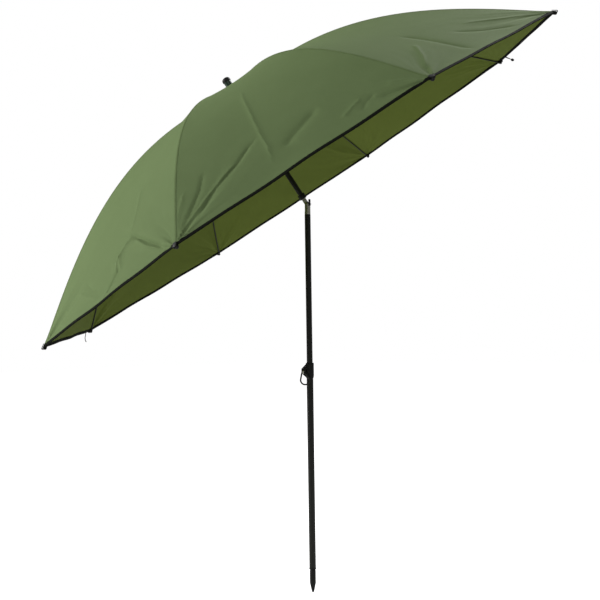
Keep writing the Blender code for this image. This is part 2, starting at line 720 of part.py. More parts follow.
def build_fork(slide, pole):
    """Plated bar with a slot for the tongue, its rivet, pin and cap, and the leaf spring latch."""
    tang = INNER_POLE_BORE - FIT_GAP
    pivot = (0, 0, PIVOT_HEIGHT)
    fork = turned(
        "tilt_fork",
        [
            (0, FORK_POST_ABOVE),
            (FORK_RADIUS, FORK_POST_ABOVE),
            (FORK_RADIUS, -FORK_BELOW),
            (tang, -FORK_BELOW),
            (tang, -FORK_BELOW - FORK_TANG_LENGTH),
            (0, -FORK_BELOW - FORK_TANG_LENGTH),
        ],
        material=PLATED_STEEL, parent=slide, place=pivot,
    )
    slot_half = TONGUE_THICKNESS / 2 + FIT_GAP
    reach = FORK_RADIUS + OVERRUN
    above = FORK_POST_ABOVE + OVERRUN
    at_pivot = {"parent": slide, "place": pivot}
    slot = block(
        "fork_slot", (-reach, -slot_half, -FORK_SLOT_BELOW), (FORK_WEB_FACE, slot_half, above), **at_pivot
    )
    cheek_top = block(
        "fork_cheek_top", (-reach, -reach, FORK_CHEEK_ABOVE),
        (FORK_RADIUS - FORK_POST_DEPTH, reach, above), **at_pivot,
    )
    across = (QUARTER_TURN, 0, 0)
    pivot_hole = rod(
        "fork_pivot_hole", PIVOT_RADIUS + FIT_GAP, -reach, reach, steps=SMALL_STEPS, turn=across, **at_pivot
    )
    rivet_place = {"parent": slide, "place": (0, 0, PIVOT_HEIGHT - FORK_RIVET_BELOW), "turn": across}
    rivet_half = FORK_RADIUS + FORK_RIVET_HEAD
    join(fork, rod("fork_rivet", FORK_RIVET_RADIUS, -rivet_half, rivet_half, steps=SMALL_STEPS, **rivet_place))
    cut(fork, slot, cheek_top, pivot_hole)
    seat = PIVOT_HALF_LENGTH - PIVOT_HEAD_THICKNESS - FIT_GAP
    for side, name in ((1, "front"), (-1, "back")):
        recess = rod(
            "fork_recess_" + name, PIVOT_HEAD_RADIUS + FIT_GAP, seat, reach,
            steps=SMALL_STEPS, turn=(side * QUARTER_TURN, 0, 0), **at_pivot,
        )
        cut(fork, recess)
    head_inner = PIVOT_HALF_LENGTH - PIVOT_HEAD_THICKNESS
    turned(
        "pivot_rivet",
        [
            (0, PIVOT_HALF_LENGTH),
            (PIVOT_HEAD_RADIUS, PIVOT_HALF_LENGTH),
            (PIVOT_HEAD_RADIUS, head_inner),
            (PIVOT_RADIUS, head_inner),
            (PIVOT_RADIUS, -head_inner),
            (PIVOT_HEAD_RADIUS, -head_inner),
            (PIVOT_HEAD_RADIUS, -PIVOT_HALF_LENGTH),
            (0, -PIVOT_HALF_LENGTH),
        ],
        steps=SMALL_STEPS, material=PLATED_STEEL, turn=across, **at_pivot,
    )
    pin_place = {"parent": slide, "place": (0, 0, PIVOT_HEIGHT - FORK_PIN_BELOW), "turn": across}
    for piece in (fork, pole):
        hole = rod(
            piece.name + "_pin_hole", PIN_RADIUS + FIT_GAP, -reach, reach, steps=SMALL_STEPS, **pin_place
        )
        cut(piece, hole)
    pin_half = INNER_POLE_RADIUS - FIT_GAP
    rod("fork_pin", PIN_RADIUS, -pin_half, pin_half, steps=SMALL_STEPS, material=PLATED_STEEL, **pin_place)
    build_latch(fork, at_pivot)
    build_fork_cap(at_pivot)


def build_latch(fork, at_pivot):
    """Leaf spring against the fork's web. Its nose sits in the tongue's notch and its nub pokes outside."""
    reach = FORK_RADIUS + OVERRUN
    sideways = (0, QUARTER_TURN, 0)
    latch = block(
        "tilt_latch",
        (LATCH_INNER_FACE, -LATCH_WIDTH / 2, LATCH_FOOT_GAP - FORK_SLOT_BELOW),
        (LATCH_OUTER_FACE, LATCH_WIDTH / 2, LATCH_ABOVE),
        material=SPRING_STEEL, **at_pivot,
    )
    nose = rod(
        "latch_nose", LATCH_NOSE_RADIUS, -LATCH_WIDTH / 2 + FIT_GAP, LATCH_WIDTH / 2 - FIT_GAP,
        steps=SMALL_STEPS, parent=at_pivot["parent"],
        place=(LATCH_INNER_FACE, 0, PIVOT_HEIGHT), turn=(QUARTER_TURN, 0, 0),
    )
    join(latch, nose)
    studs = (
        ("nub", LATCH_NUB_RADIUS, LATCH_NUB_ABOVE, LATCH_NUB_REACH),
        ("rivet", LATCH_RIVET_RADIUS, -LATCH_RIVET_BELOW, FORK_RADIUS),
    )
    middle = (LATCH_INNER_FACE + LATCH_OUTER_FACE) / 2
    for name, radius, height, end in studs:
        spot = {"parent": at_pivot["parent"], "place": (0, 0, PIVOT_HEIGHT + height), "turn": sideways}
        join(latch, rod("latch_" + name, radius, middle, end, steps=SMALL_STEPS, **spot))
        cut(fork, rod("latch_hole_" + name, radius + HOLE_GAP, 0, reach, steps=SMALL_STEPS, **spot))


def build_fork_cap(at_pivot):
    """Black cap on the post of the fork's web."""
    foot = FORK_POST_ABOVE + FIT_GAP
    top = foot + FORK_CAP_HEIGHT
    cap = turned(
        "fork_cap",
        [
            (0, top),
            (FORK_RADIUS - FORK_CAP_EDGE, top),
            (FORK_RADIUS, top - FORK_CAP_EDGE),
            (FORK_RADIUS, foot),
            (0, foot),
        ],
        material=BLACK_PLASTIC, **at_pivot,
    )
    reach = FORK_RADIUS + OVERRUN
    side = block(
        "fork_cap_side", (-reach, -reach, foot - OVERRUN),
        (FORK_RADIUS - FORK_POST_DEPTH, reach, top + OVERRUN), **at_pivot,
    )
    slot_half = TONGUE_THICKNESS / 2 + FIT_GAP
    slot = block(
        "fork_cap_slot", (-reach, -slot_half, foot - OVERRUN),
        (TONGUE_EYE_RADIUS + FIT_GAP, slot_half, top + OVERRUN), **at_pivot,
    )
    cut(cap, side, slot)


def build_head_pole(head):
    """Tongue, upper pole, the collar round its foot and the pin through all three."""
    outline = arc((0, 0), TONGUE_EYE_RADIUS, HALF_TURN, FULL_TURN, 2 * ARC_STEPS)
    plate_top = COLLAR_ABOVE + SEAT_OVERLAP
    outline += [(TONGUE_EYE_RADIUS, plate_top), (-TONGUE_EYE_RADIUS, plate_top)]
    tongue = flat("tilt_tongue", outline, TONGUE_THICKNESS, material=PLATED_STEEL, parent=head)
    shoulder_top = COLLAR_ABOVE + TONGUE_SHOULDER
    spigot = turned(
        "tongue_spigot",
        [
            (0, shoulder_top + TONGUE_SPIGOT_LENGTH),
            (SPIGOT_RADIUS, shoulder_top + TONGUE_SPIGOT_LENGTH),
            (SPIGOT_RADIUS, shoulder_top),
            (UPPER_POLE_RADIUS, shoulder_top),
            (UPPER_POLE_RADIUS, COLLAR_ABOVE),
            (0, COLLAR_ABOVE),
        ],
        parent=head,
    )
    join(tongue, spigot)
    across = (QUARTER_TURN, 0, 0)
    reach = COLLAR_RADIUS + OVERRUN
    cut(
        tongue,
        rod("tongue_pivot_hole", PIVOT_RADIUS + FIT_GAP, -reach, reach, steps=SMALL_STEPS,
            parent=head, turn=across),
    )
    for n in range(TILT_NOTCHES):
        out = TONGUE_EYE_RADIUS + NOTCH_OUTSET
        place = (out * math.cos(n * TILT_STEP), 0, -out * math.sin(n * TILT_STEP))
        notch = rod(
            f"tongue_notch_{n}", NOTCH_RADIUS, -TONGUE_THICKNESS, TONGUE_THICKNESS,
            steps=SMALL_STEPS, parent=head, place=place, turn=across,
        )
        cut(tongue, notch)
    pole = tube(
        "upper_pole", UPPER_POLE_RADIUS, UPPER_POLE_BORE, UPPER_POLE_FOOT, UPPER_POLE_TOP,
        material=BLACK_PAINT, parent=head,
    )
    collar_top = COLLAR_ABOVE + COLLAR_HEIGHT
    collar = turned(
        "pole_collar",
        [
            (COLLAR_RADIUS - COLLAR_EDGE, collar_top),
            (COLLAR_RADIUS, collar_top - COLLAR_EDGE),
            (COLLAR_RADIUS, COLLAR_ABOVE + COLLAR_EDGE),
            (COLLAR_RADIUS - COLLAR_EDGE, COLLAR_ABOVE),
            (SLEEVE_BORE, COLLAR_ABOVE),
            (SLEEVE_BORE, collar_top),
        ],
        closed=True, material=BLACK_PLASTIC, parent=head,
    )
    pin_place = {"parent": head, "place": (0, 0, COLLAR_ABOVE + TONGUE_PIN_ABOVE), "turn": across}
    for piece in (tongue, pole, collar):
        hole = rod(
            piece.name + "_pin_hole", PIN_RADIUS + FIT_GAP, -reach, reach, steps=SMALL_STEPS, **pin_place
        )
        cut(piece, hole)
    pin_half = COLLAR_RADIUS - FIT_GAP
    rod("tongue_pin", PIN_RADIUS, -pin_half, pin_half, steps=SMALL_STEPS, material=PLATED_STEEL, **pin_place)
    return pole


def hinge_ring_cuts(piece, parent, height, low, high, outer):
    """Cut a slot for each hinge eye, and the groove that holds the hinge wire."""
    for n, angle in enumerate(RIB_ANGLES):
        slot = block(
            f"{piece.name}_slot_{n}",
            (HINGE_SLOT_INNER, -HINGE_SLOT_WIDTH / 2, low - OVERRUN),
            (outer + OVERRUN, HINGE_SLOT_WIDTH / 2, high + OVERRUN),
            parent=parent, turn=(0, 0, angle),
        )
        cut(piece, slot)
    half = HINGE_WIRE_RADIUS + FIT_GAP
    inner = HINGE_RING_RADIUS - half
    groove = turned(
        piece.name + "_groove",
        [
            (outer + OVERRUN, height + half),
            (outer + OVERRUN, height - half),
            (inner, height - half),
            (inner, height + half),
        ],
        closed=True, parent=parent,
    )
    cut(piece, groove)


def build_hinge_wire(name, parent, height):
    """The wire ring that the hinge eyes are threaded on."""
    points = [
        (
            HINGE_RING_RADIUS * math.cos(FULL_TURN * n / WIRE_STEPS),
            HINGE_RING_RADIUS * math.sin(FULL_TURN * n / WIRE_STEPS),
            height,
        )
        for n in range(WIRE_STEPS)
    ]
    ring = wire(
        name, points, HINGE_WIRE_RADIUS, resolution=0, cyclic=True, material=PLATED_STEEL, parent=parent
    )
    set_smooth(ring.data)


def build_crown(head):
    """Notched crown that holds the ribs, and the ferrule and cap above the cloth."""
    foot = CROWN_PIVOT_ABOVE - CROWN_BELOW_PIVOT
    lip_bore = SPIGOT_RADIUS + FIT_GAP
    crown = turned(
        "crown_hub",
        [
            (CROWN_RADIUS - CROWN_EDGE, CROWN_TOP),
            (CROWN_RADIUS, CROWN_TOP - CROWN_EDGE),
            (CROWN_RADIUS, foot + CROWN_EDGE),
            (CROWN_RADIUS - CROWN_EDGE, foot),
            (SLEEVE_BORE, foot),
            (SLEEVE_BORE, CROWN_TOP - CROWN_LIP),
            (lip_bore, CROWN_TOP - CROWN_LIP),
            (lip_bore, CROWN_TOP),
        ],
        closed=True, material=BLACK_PLASTIC, parent=head,
    )
    hinge_ring_cuts(crown, head, CROWN_PIVOT_ABOVE, foot, CROWN_TOP, CROWN_RADIUS)
    build_hinge_wire("crown_wire", head, CROWN_PIVOT_ABOVE)
    flange_top = FERRULE_FOOT + FERRULE_FLANGE_THICKNESS
    profile = [
        (0, FERRULE_TOP),
        (FERRULE_RADIUS, FERRULE_TOP),
        (FERRULE_RADIUS, flange_top),
        (FERRULE_FLANGE_RADIUS, flange_top),
        (FERRULE_FLANGE_RADIUS, FERRULE_FOOT),
        (SPIGOT_RADIUS, FERRULE_FOOT),
        (SPIGOT_RADIUS, FERRULE_FOOT - FERRULE_STEM_BELOW),
        (0, FERRULE_FOOT - FERRULE_STEM_BELOW),
    ]
    turned("ferrule", profile, material=GREEN_PLASTIC, parent=head)
    build_ferrule_cap(head)


def build_ferrule_cap(head):
    """Domed black cap with a short skirt round the ferrule's end."""
    skirt_foot = FERRULE_TOP - FERRULE_CAP_SKIRT
    bore = FERRULE_RADIUS + FIT_GAP
    crown = FERRULE_TOP + FIT_GAP
    dome_height = FERRULE_CAP_HEIGHT - FERRULE_CAP_SKIRT
    outer_radius = bore + CROWN_EDGE
    dome = [
        (
            outer_radius * math.sin(QUARTER_TURN * n / ARC_STEPS),
            crown + (dome_height - FIT_GAP) * math.cos(QUARTER_TURN * n / ARC_STEPS),
        )
        for n in range(ARC_STEPS + 1)
    ]
    turned(
        "ferrule_cap",
        dome + [(outer_radius, skirt_foot), (bore, skirt_foot), (bore, crown), (0, crown)],
        material=BLACK_PLASTIC, parent=head,
    )


def build_runner(head):
    """Runner with its finger grip, and the wire that the stretchers hinge on."""
    axis = new_axis("runner_axis", parent=head, place=(0, 0, RUNNER_PIVOT_ABOVE))
    grip_top = RUNNER_GRIP_HEIGHT - RUNNER_SLEEVE_BELOW
    runner = turned(
        "runner",
        [
            (CROWN_RADIUS - CROWN_EDGE, RUNNER_HEAD_HALF),
            (CROWN_RADIUS, RUNNER_HEAD_HALF - CROWN_EDGE),
            (CROWN_RADIUS, -RUNNER_HEAD_HALF),
            (RUNNER_SLEEVE_RADIUS, -RUNNER_HEAD_HALF - RUNNER_NECK_DROP),
            (RUNNER_SLEEVE_RADIUS, grip_top + RUNNER_GRIP_RADIUS - RUNNER_SLEEVE_RADIUS),
            (RUNNER_GRIP_RADIUS, grip_top),
            (RUNNER_GRIP_RADIUS, CROWN_EDGE - RUNNER_SLEEVE_BELOW),
            (RUNNER_GRIP_RADIUS - CROWN_EDGE, -RUNNER_SLEEVE_BELOW),
            (SLEEVE_BORE, -RUNNER_SLEEVE_BELOW),
            (SLEEVE_BORE, RUNNER_HEAD_HALF),
        ],
        closed=True, material=BLACK_PLASTIC, parent=axis,
    )
    hinge_ring_cuts(runner, axis, 0, -RUNNER_HEAD_HALF - RUNNER_NECK_DROP, RUNNER_HEAD_HALF, CROWN_RADIUS)
    build_hinge_wire("runner_wire", axis, 0)
    return axis


def build_catch(head, pole):
    """Leaf spring inside the upper pole, with a nose that stands under the open runner."""
    outer = -(UPPER_POLE_BORE - CATCH_WALL_GAP)
    inner = outer + CATCH_THICKNESS
    top = RUNNER_FOOT - FIT_GAP
    tip = -(UPPER_POLE_RADIUS + CATCH_NOSE_REACH)
    low = top - CATCH_LENGTH
    outline = [
        (inner, top),
        (tip, top),
        (tip, top - CATCH_THICKNESS),
        (outer, top - CATCH_NOSE_HEIGHT),
        (outer, top - CATCH_NOSE_HEIGHT - CATCH_THICKNESS),
        (inner, top - CATCH_NOSE_HEIGHT - CATCH_THICKNESS),
    ]
    catch = flat("runner_catch", outline, CATCH_NOSE_WIDTH, material=SPRING_STEEL, parent=head)
    leaf = block(
        "catch_leaf",
        (outer, -CATCH_WIDTH / 2, low),
        (inner, CATCH_WIDTH / 2, top - CATCH_NOSE_HEIGHT - CATCH_THICKNESS / 2),
        parent=head,
    )
    sideways = (0, -QUARTER_TURN, 0)
    rivet_spot = {"parent": head, "place": (0, 0, low + CATCH_RIVET_UP), "turn": sideways}
    rivet = rod(
        "catch_rivet", CATCH_RIVET_RADIUS, -(outer + inner) / 2, UPPER_POLE_RADIUS - FIT_GAP,
        steps=SMALL_STEPS, **rivet_spot,
    )
    join(catch, leaf, rivet)
    rivet_hole = rod(
        "catch_rivet_hole", CATCH_RIVET_RADIUS + FIT_GAP, 0, UPPER_POLE_RADIUS + OVERRUN,
        steps=SMALL_STEPS, **rivet_spot,
    )
    window = block(
        "catch_window",
        (-UPPER_POLE_RADIUS - OVERRUN, -CATCH_NOSE_WIDTH / 2 - HOLE_GAP, top - CATCH_NOSE_HEIGHT - OVERRUN),
        (0, CATCH_NOSE_WIDTH / 2 + HOLE_GAP, top + HOLE_GAP),
        parent=head,
    )
    cut(pole, rivet_hole, window)


def hinge_plate(name, length):
    """Flat end of a rib or stretcher, with its eye round the origin."""
    outline = arc((0, 0), HINGE_EYE_RADIUS, HINGE_EYE_OPENS, FULL_TURN - HINGE_EYE_OPENS, 2 * ARC_STEPS)
    half = outline[-1][1]
    outline += [(length, half), (length, -half)]
    plate = flat(name, outline, HINGE_EYE_THICKNESS)
    hole = rod(
        name + "_eye_hole", HINGE_EYE_HOLE, -HINGE_EYE_RADIUS, HINGE_EYE_RADIUS,
        steps=ARC_STEPS, turn=(QUARTER_TURN, 0, 0),
    )
    return plate, hole


def rib_pattern():
    """One rib in its own frame: hinge at the origin, +X outwards, with the saddle for the stretcher."""
    plate, hole = hinge_plate("rib_plate", HINGE_PLATE_LENGTH)
    points = [(out, 0, up) for out, up, slope in rib_places(RIB_LENGTH, RIB_SEGMENTS)]
    first = Vector(points[0]).lerp(Vector(points[1]), HINGE_PLATE_LENGTH / (RIB_LENGTH / RIB_SEGMENTS))
    first = first - (Vector(points[1]) - Vector(points[0])).normalized() * SEAT_OVERLAP
    points[0] = tuple(first)
    bar = wire("rib_bar", points, RIB_RADIUS, resolution=RIB_SIDES_RESOLUTION)
    rivet_out, rivet_up = rivet_place()
    slope = rib_place(RIVET_ALONG_RIB)[2]
    outline = arc((0, 0), SADDLE_RADIUS, HALF_TURN, FULL_TURN)
    outline += [(SADDLE_LENGTH / 2, RIVET_BELOW_RIB), (-SADDLE_LENGTH / 2, RIVET_BELOW_RIB)]
    saddle = flat("rib_saddle", outline, SADDLE_WIDTH, place=(rivet_out, 0, rivet_up), turn=(0, slope, 0))
    join(bar, plate, saddle)
    cut(bar, hole)
    return take_mesh(bar, "rib")


def rib_cap_pattern():
    """End cap in its own frame: mouth at the origin, closed end along +Z."""
    bore = RIB_RADIUS + FIT_GAP
    rounding = RIB_CAP_LENGTH - RIB_CAP_BORE_DEPTH
    dome = [
        (
            RIB_CAP_RADIUS * math.sin(QUARTER_TURN * n / (ARC_STEPS / 2)),
            RIB_CAP_BORE_DEPTH + rounding * math.cos(QUARTER_TURN * n / (ARC_STEPS / 2)),
        )
        for n in range(ARC_STEPS // 2 + 1)
    ]
    profile = dome + [
        (RIB_CAP_MOUTH_RADIUS, 0),
        (bore, 0),
        (bore, RIB_CAP_BORE_DEPTH),
        (0, RIB_CAP_BORE_DEPTH),
    ]
    cap = turned("rib_cap_pattern", profile, steps=RIB_CAP_SIDES)
    return take_mesh(cap, "rib_cap")


def stretcher_pattern(length):
    """One stretcher along +X: hinge eye at the origin, forked end round the rivet."""
    plate, hole = hinge_plate("stretcher_plate", HINGE_PLATE_LENGTH)
    fork_start = length - FORK_END_LENGTH
    bar = wire(
        "stretcher_bar",
        [(HINGE_PLATE_LENGTH - SEAT_OVERLAP, 0, 0), (fork_start + SEAT_OVERLAP, 0, 0)],
        STRETCHER_RADIUS, resolution=RIB_SIDES_RESOLUTION,
    )
    inner_half = SADDLE_WIDTH / 2 + FIT_GAP
    outer_half = inner_half + FORK_CHEEK_THICKNESS
    outline = [(fork_start, -STRETCHER_RADIUS)]
    outline += arc((length, 0), FORK_CHEEK_RADIUS, -QUARTER_TURN, QUARTER_TURN)
    outline += [(fork_start, STRETCHER_RADIUS)]
    fork = flat("stretcher_fork", outline, 2 * outer_half)
    slot = block(
        "stretcher_slot",
        (length - FORK_SLOT_LENGTH, -inner_half, -FORK_CHEEK_RADIUS - OVERRUN),
        (length + FORK_CHEEK_RADIUS + OVERRUN, inner_half, FORK_CHEEK_RADIUS + OVERRUN),
    )
    join(bar, plate, fork)
    cut(bar, hole, slot)
    for side in (1, -1):
        head = rod(
            f"stretcher_rivet_{side}", RIVET_HEAD_RADIUS,
            outer_half - FORK_CHEEK_THICKNESS / 2, outer_half + RIVET_HEAD_THICKNESS,
            steps=ARC_STEPS, place=(length, 0, 0), turn=(side * QUARTER_TURN, 0, 0),
        )
        join(bar, head)
    return take_mesh(bar, "stretcher")


def canopy_point(across, along):
    """A place on the cloth in a rib's half gores: across from -1 to 1, along the rib in metres."""
    radius, height = cloth_place(along)
    share = abs(across) / 2
    neighbour = FULL_TURN / RIB_COUNT
    out = radius * (1 - share + share * math.cos(neighbour))
    side = radius * share * math.sin(neighbour)
    run = along / HEM_ALONG_RIB
    sag = CLOTH_SAG * 4 * share * (1 - share) * math.sin(math.pi * run)
    return math.copysign(side, across), out, height - sag


def canopy_pattern():
    """The cloth over one rib, out to the middle of the gore on each side."""
    mesh = bpy.data.meshes.new("canopy")
    shape = bmesh.new()
    bmesh.ops.create_grid(shape, x_segments=CLOTH_CELLS_ACROSS, y_segments=RIB_SEGMENTS, size=1.0)
    start = CLOTH_CENTRE_HOLE_RADIUS - HINGE_RING_RADIUS
    for vertex in shape.verts:
        across = vertex.co.x
        along = RIB_LENGTH * (vertex.co.y + 1) / 2
        if vertex.co.y > 1 - FIRST_ROW_END:
            along = HEM_ALONG_RIB
        if vertex.co.y < FIRST_ROW_END - 1:
            along = start
        side, out, height = canopy_point(across, max(along, 0.0))
        if along < 0:
            shrink = (HINGE_RING_RADIUS + along) / HINGE_RING_RADIUS
            side, out = side * shrink, out * shrink
        middle = out * math.tan(HALF_TURN / RIB_COUNT)
        if middle - abs(side) < FIT_GAP / 2:
            side = math.copysign(middle - FIT_GAP / 2, side)
        vertex.co = (out, side, height)
    bmesh.ops.recalc_face_normals(shape, faces=shape.faces)
    shape.to_mesh(mesh)
    shape.free()
    sheet = add("canopy_sheet", mesh)
    wall = sheet.modifiers.new("Thickness", "SOLIDIFY")
    wall.thickness = CLOTH_THICKNESS
    wall.offset = 0
    return take_mesh(sheet, "canopy")


def build_frame_and_canopy(head, runner_axis):
    """The ribs, caps, stretchers and cloth, one of each at every rib's place."""
    rivet_out, rivet_up = rivet_place()
    rise = rivet_up + RUNNER_BELOW_CROWN
    stretcher_length = math.hypot(rivet_out, rise)
    elevation = math.atan2(rise, rivet_out)
    rib_mesh = rib_pattern()
    cap_mesh = rib_cap_pattern()
    stretcher_mesh = stretcher_pattern(stretcher_length)
    canopy_mesh = canopy_pattern()
    cap_out, cap_up, cap_slope = rib_place(CAP_SEAT)
    for n, angle in enumerate(RIB_ANGLES):
        hinge = (HINGE_RING_RADIUS * math.cos(angle), HINGE_RING_RADIUS * math.sin(angle))
        rib_axis = new_axis(
            f"rib_axis_{n + 1}", parent=head, place=(*hinge, CROWN_PIVOT_ABOVE), turn=(0, 0, angle)
        )
        placed_copy(rib_mesh, f"rib_{n + 1}", BLACK_PAINT, rib_axis)
        placed_copy(
            cap_mesh, f"rib_cap_{n + 1}", BLACK_PLASTIC, rib_axis,
            place=(cap_out, 0, cap_up), turn=(0, QUARTER_TURN + cap_slope, 0),
        )
        placed_copy(
            canopy_mesh, f"canopy_{n + 1}", GREEN_CLOTH, rib_axis,
            place=(-HINGE_RING_RADIUS, 0, -CROWN_PIVOT_ABOVE),
        )
        stretcher_axis = new_axis(
            f"stretcher_axis_{n + 1}", parent=runner_axis, place=(*hinge, 0), turn=(0, 0, angle)
        )
        placed_copy(
            stretcher_mesh, f"stretcher_{n + 1}", BLACK_PAINT, stretcher_axis, turn=(0, -elevation, 0)
        )
    report_linkage(rivet_out, rivet_up, stretcher_length, elevation)


def report_linkage(rivet_out, rivet_up, stretcher_length, elevation):
    """Print how far the ribs and stretchers turn when the runner slides down."""
    chord = math.hypot(rivet_out, rivet_up)
    open_angle = math.atan2(rivet_out, -rivet_up)
    low = RUNNER_BELOW_CROWN + RUNNER_TRAVEL
    cosine = (chord**2 + low**2 - stretcher_length**2) / (2 * chord * low)
    fold = open_angle - math.acos(cosine)
    closed_out = chord * math.sin(open_angle - fold)
    closed_up = low - chord * math.cos(open_angle - fold)
    rise = math.atan2(closed_up, closed_out) - elevation
    print(f"runner travel {RUNNER_TRAVEL:.6f} m, stretcher {stretcher_length:.6f} m")
    print(f"rib folds {fold / DEGREE:.5f} degrees, stretcher rises {rise / DEGREE:.5f} degrees")


# Cords at the hem
def hem_place(head, rib, toward, from_corner, above_hem):
    """A world place on the cloth beside a rib's corner, towards the next rib or the one before."""
    radius, height = cloth_place(HEM_ALONG_RIB - above_hem)
    corners = []
    for index in (rib, (rib + toward) % RIB_COUNT):
        angle = RIB_ANGLES[index]
        corners.append(Vector((radius * math.cos(angle), radius * math.sin(angle), height)))
    along_hem = (corners[1] - corners[0]).normalized()
    return head.matrix_world @ (corners[0] + along_hem * from_corner)


def smooth_route(points, count):
    """Evenly numbered places on a smooth curve through the given points."""
    places = []
    for n in range(count):
        at = n / (count - 1) * (len(points) - 1)
        k = min(int(at), len(points) - 2)
        t = at - k
        before = points[max(k - 1, 0)]
        after = points[min(k + 2, len(points) - 1)]
        start, end = points[k], points[k + 1]
        lead_in, lead_out = (end - before) / 2, (after - start) / 2
        places.append(
            start * (2 * t**3 - 3 * t**2 + 1) + lead_in * (t**3 - 2 * t**2 + t)
            + end * (3 * t**2 - 2 * t**3) + lead_out * (t**3 - t**2)
        )
    return places


def build_hem_cords(head):
    """The short tie near the far left corner, and the pull loop and toggle near the far right one."""
    bpy.context.view_layer.update()
    seam = hem_place(head, TIE_RIB_INDEX, 1, TIE_FROM_CORNER, TIE_SEAM)
    edge = hem_place(head, TIE_RIB_INDEX, 1, TIE_FROM_CORNER, 0)
    down = (edge - seam).normalized()
    inside = Vector((-down.z, 0, down.x)) * (CLOTH_THICKNESS / 2 + FIT_GAP + TIE_RADIUS)
    start = [seam + inside, edge + inside]
    route = smooth_route(start + [edge + inside + step for step in TIE_ROUTE], TIE_POINTS)
    tie = wire("tie_cord", route, TIE_RADIUS, resolution=2, material=GREY_CORD)
    set_smooth(tie.data)
    hem = hem_place(head, PULL_RIB_INDEX, -1, PULL_LOOP_FROM_CORNER, 0)
    outward = Vector((math.cos(PULL_LOOP_DROP), 0, -math.sin(PULL_LOOP_DROP)))
    sideways = Vector((0, PULL_LOOP_HALF_WIDTH, 0))
    root = hem + outward * PULL_LOOP_SEAT
    loop = []
    for n in range(PULL_LOOP_POINTS):
        turn = math.pi * n / (PULL_LOOP_POINTS - 1)
        reach = outward * PULL_LOOP_REACH * math.sqrt(max(math.sin(turn), 0))
        loop.append(root + reach + sideways * math.cos(turn))
    pull = wire("pull_loop", loop, PULL_LOOP_RADIUS, resolution=2, material=BLACK_CORD)
    set_smooth(pull.data)
    half = TOGGLE_LENGTH / 2
    profile = [
        (
            TOGGLE_RADIUS * math.sin(HALF_TURN * n / ARC_STEPS),
            half + half * math.cos(HALF_TURN * n / ARC_STEPS),
        )
        for n in range(ARC_STEPS)
    ]
    turned(
        "loop_toggle", profile + [(TOGGLE_NECK_RADIUS, 0), (0, 0)],
        steps=SMALL_STEPS, material=BLACK_PLASTIC,
        place=root + outward * (PULL_LOOP_REACH + PULL_LOOP_RADIUS + FIT_GAP),
        turn=outward.to_track_quat("Z", "Y").to_euler(),
    )


def main():
    build_ground_end()
    build_clamp()
    build_clamp_screw()
    build_inner_pole()
    head = new_axis("tilt_axis", place=(0, 0, PIVOT_HEIGHT), turn=(0, -REST_TILT, 0))
    pole = build_head_pole(head)
    build_crown(head)
    runner_axis = build_runner(head)
    build_catch(head, pole)
    build_frame_and_canopy(head, runner_axis)
    build_hem_cords(head)


main()
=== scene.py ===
"""Looks of a fishing umbrella on a telescopic pole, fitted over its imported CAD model.

The canopy is sewn from eight gores on bent ribs. Every panel, seam and hem comes from one surface
formula in the head's own frame, which leans with the tilt joint.
"""

import json
import logging
import math
from dataclasses import dataclass, replace
from enum import Enum
from typing import Callable, Sequence

import bpy
import numpy as np
from mathutils import Matrix, Vector


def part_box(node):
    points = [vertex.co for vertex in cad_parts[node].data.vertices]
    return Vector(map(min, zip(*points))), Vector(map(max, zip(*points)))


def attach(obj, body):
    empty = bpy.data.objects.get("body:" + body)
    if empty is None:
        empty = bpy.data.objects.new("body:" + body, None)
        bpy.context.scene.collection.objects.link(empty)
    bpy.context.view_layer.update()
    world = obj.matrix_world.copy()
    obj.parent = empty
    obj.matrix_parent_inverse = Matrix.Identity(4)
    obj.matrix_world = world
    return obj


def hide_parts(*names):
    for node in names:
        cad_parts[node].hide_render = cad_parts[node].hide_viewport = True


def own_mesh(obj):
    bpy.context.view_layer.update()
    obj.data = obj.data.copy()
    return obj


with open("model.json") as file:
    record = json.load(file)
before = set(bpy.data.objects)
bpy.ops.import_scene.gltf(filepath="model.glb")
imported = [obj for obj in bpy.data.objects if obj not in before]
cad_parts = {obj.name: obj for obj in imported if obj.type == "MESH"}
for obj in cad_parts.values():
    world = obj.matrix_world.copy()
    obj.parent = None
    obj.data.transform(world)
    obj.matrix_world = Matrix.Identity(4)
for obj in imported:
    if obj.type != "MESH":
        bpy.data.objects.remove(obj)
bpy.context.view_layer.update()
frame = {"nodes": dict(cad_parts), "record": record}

MM = 0.001
DEGREE = math.pi / 180
LOG = logging.getLogger("umbrella")

Array = np.ndarray
Colour = tuple[float, float, float]
Rings = Sequence[tuple[float, float]]
Piece = bpy.types.Object
Node = bpy.types.Node
Socket = bpy.types.NodeSocket


class Slot(Enum):
    """The record's material slots."""

    BLACK_PAINT = "black_paint"
    PLATED_STEEL = "plated_steel"
    SPRING_STEEL = "spring_steel"
    BLACK_PLASTIC = "black_plastic"
    GREEN_PLASTIC = "green_plastic"
    CLOTH = "green_cloth"
    GREY_CORD = "grey_cord"
    BLACK_CORD = "black_cord"


class Effect(Enum):
    """The shader effects that the finishes share, one node group each."""

    SPECKLE = "fine_speckle"
    WEAVE = "plain_weave"
    BRUSHED = "brushed_lines"
    STITCHES = "stitch_row"


@dataclass(frozen=True)
class Finish:
    """One finish: its colours, gloss and surface detail. Lengths are in metres."""

    name: str
    slot: Slot
    effect: Effect
    colour: Colour
    second_colour: Colour
    roughness: float
    spread: float
    grain: float
    depth: float
    metallic: float = 0.0
    coat: float = 0.0
    specular: float = 0.5
    follows_surface: bool = False
    stitched: bool = False


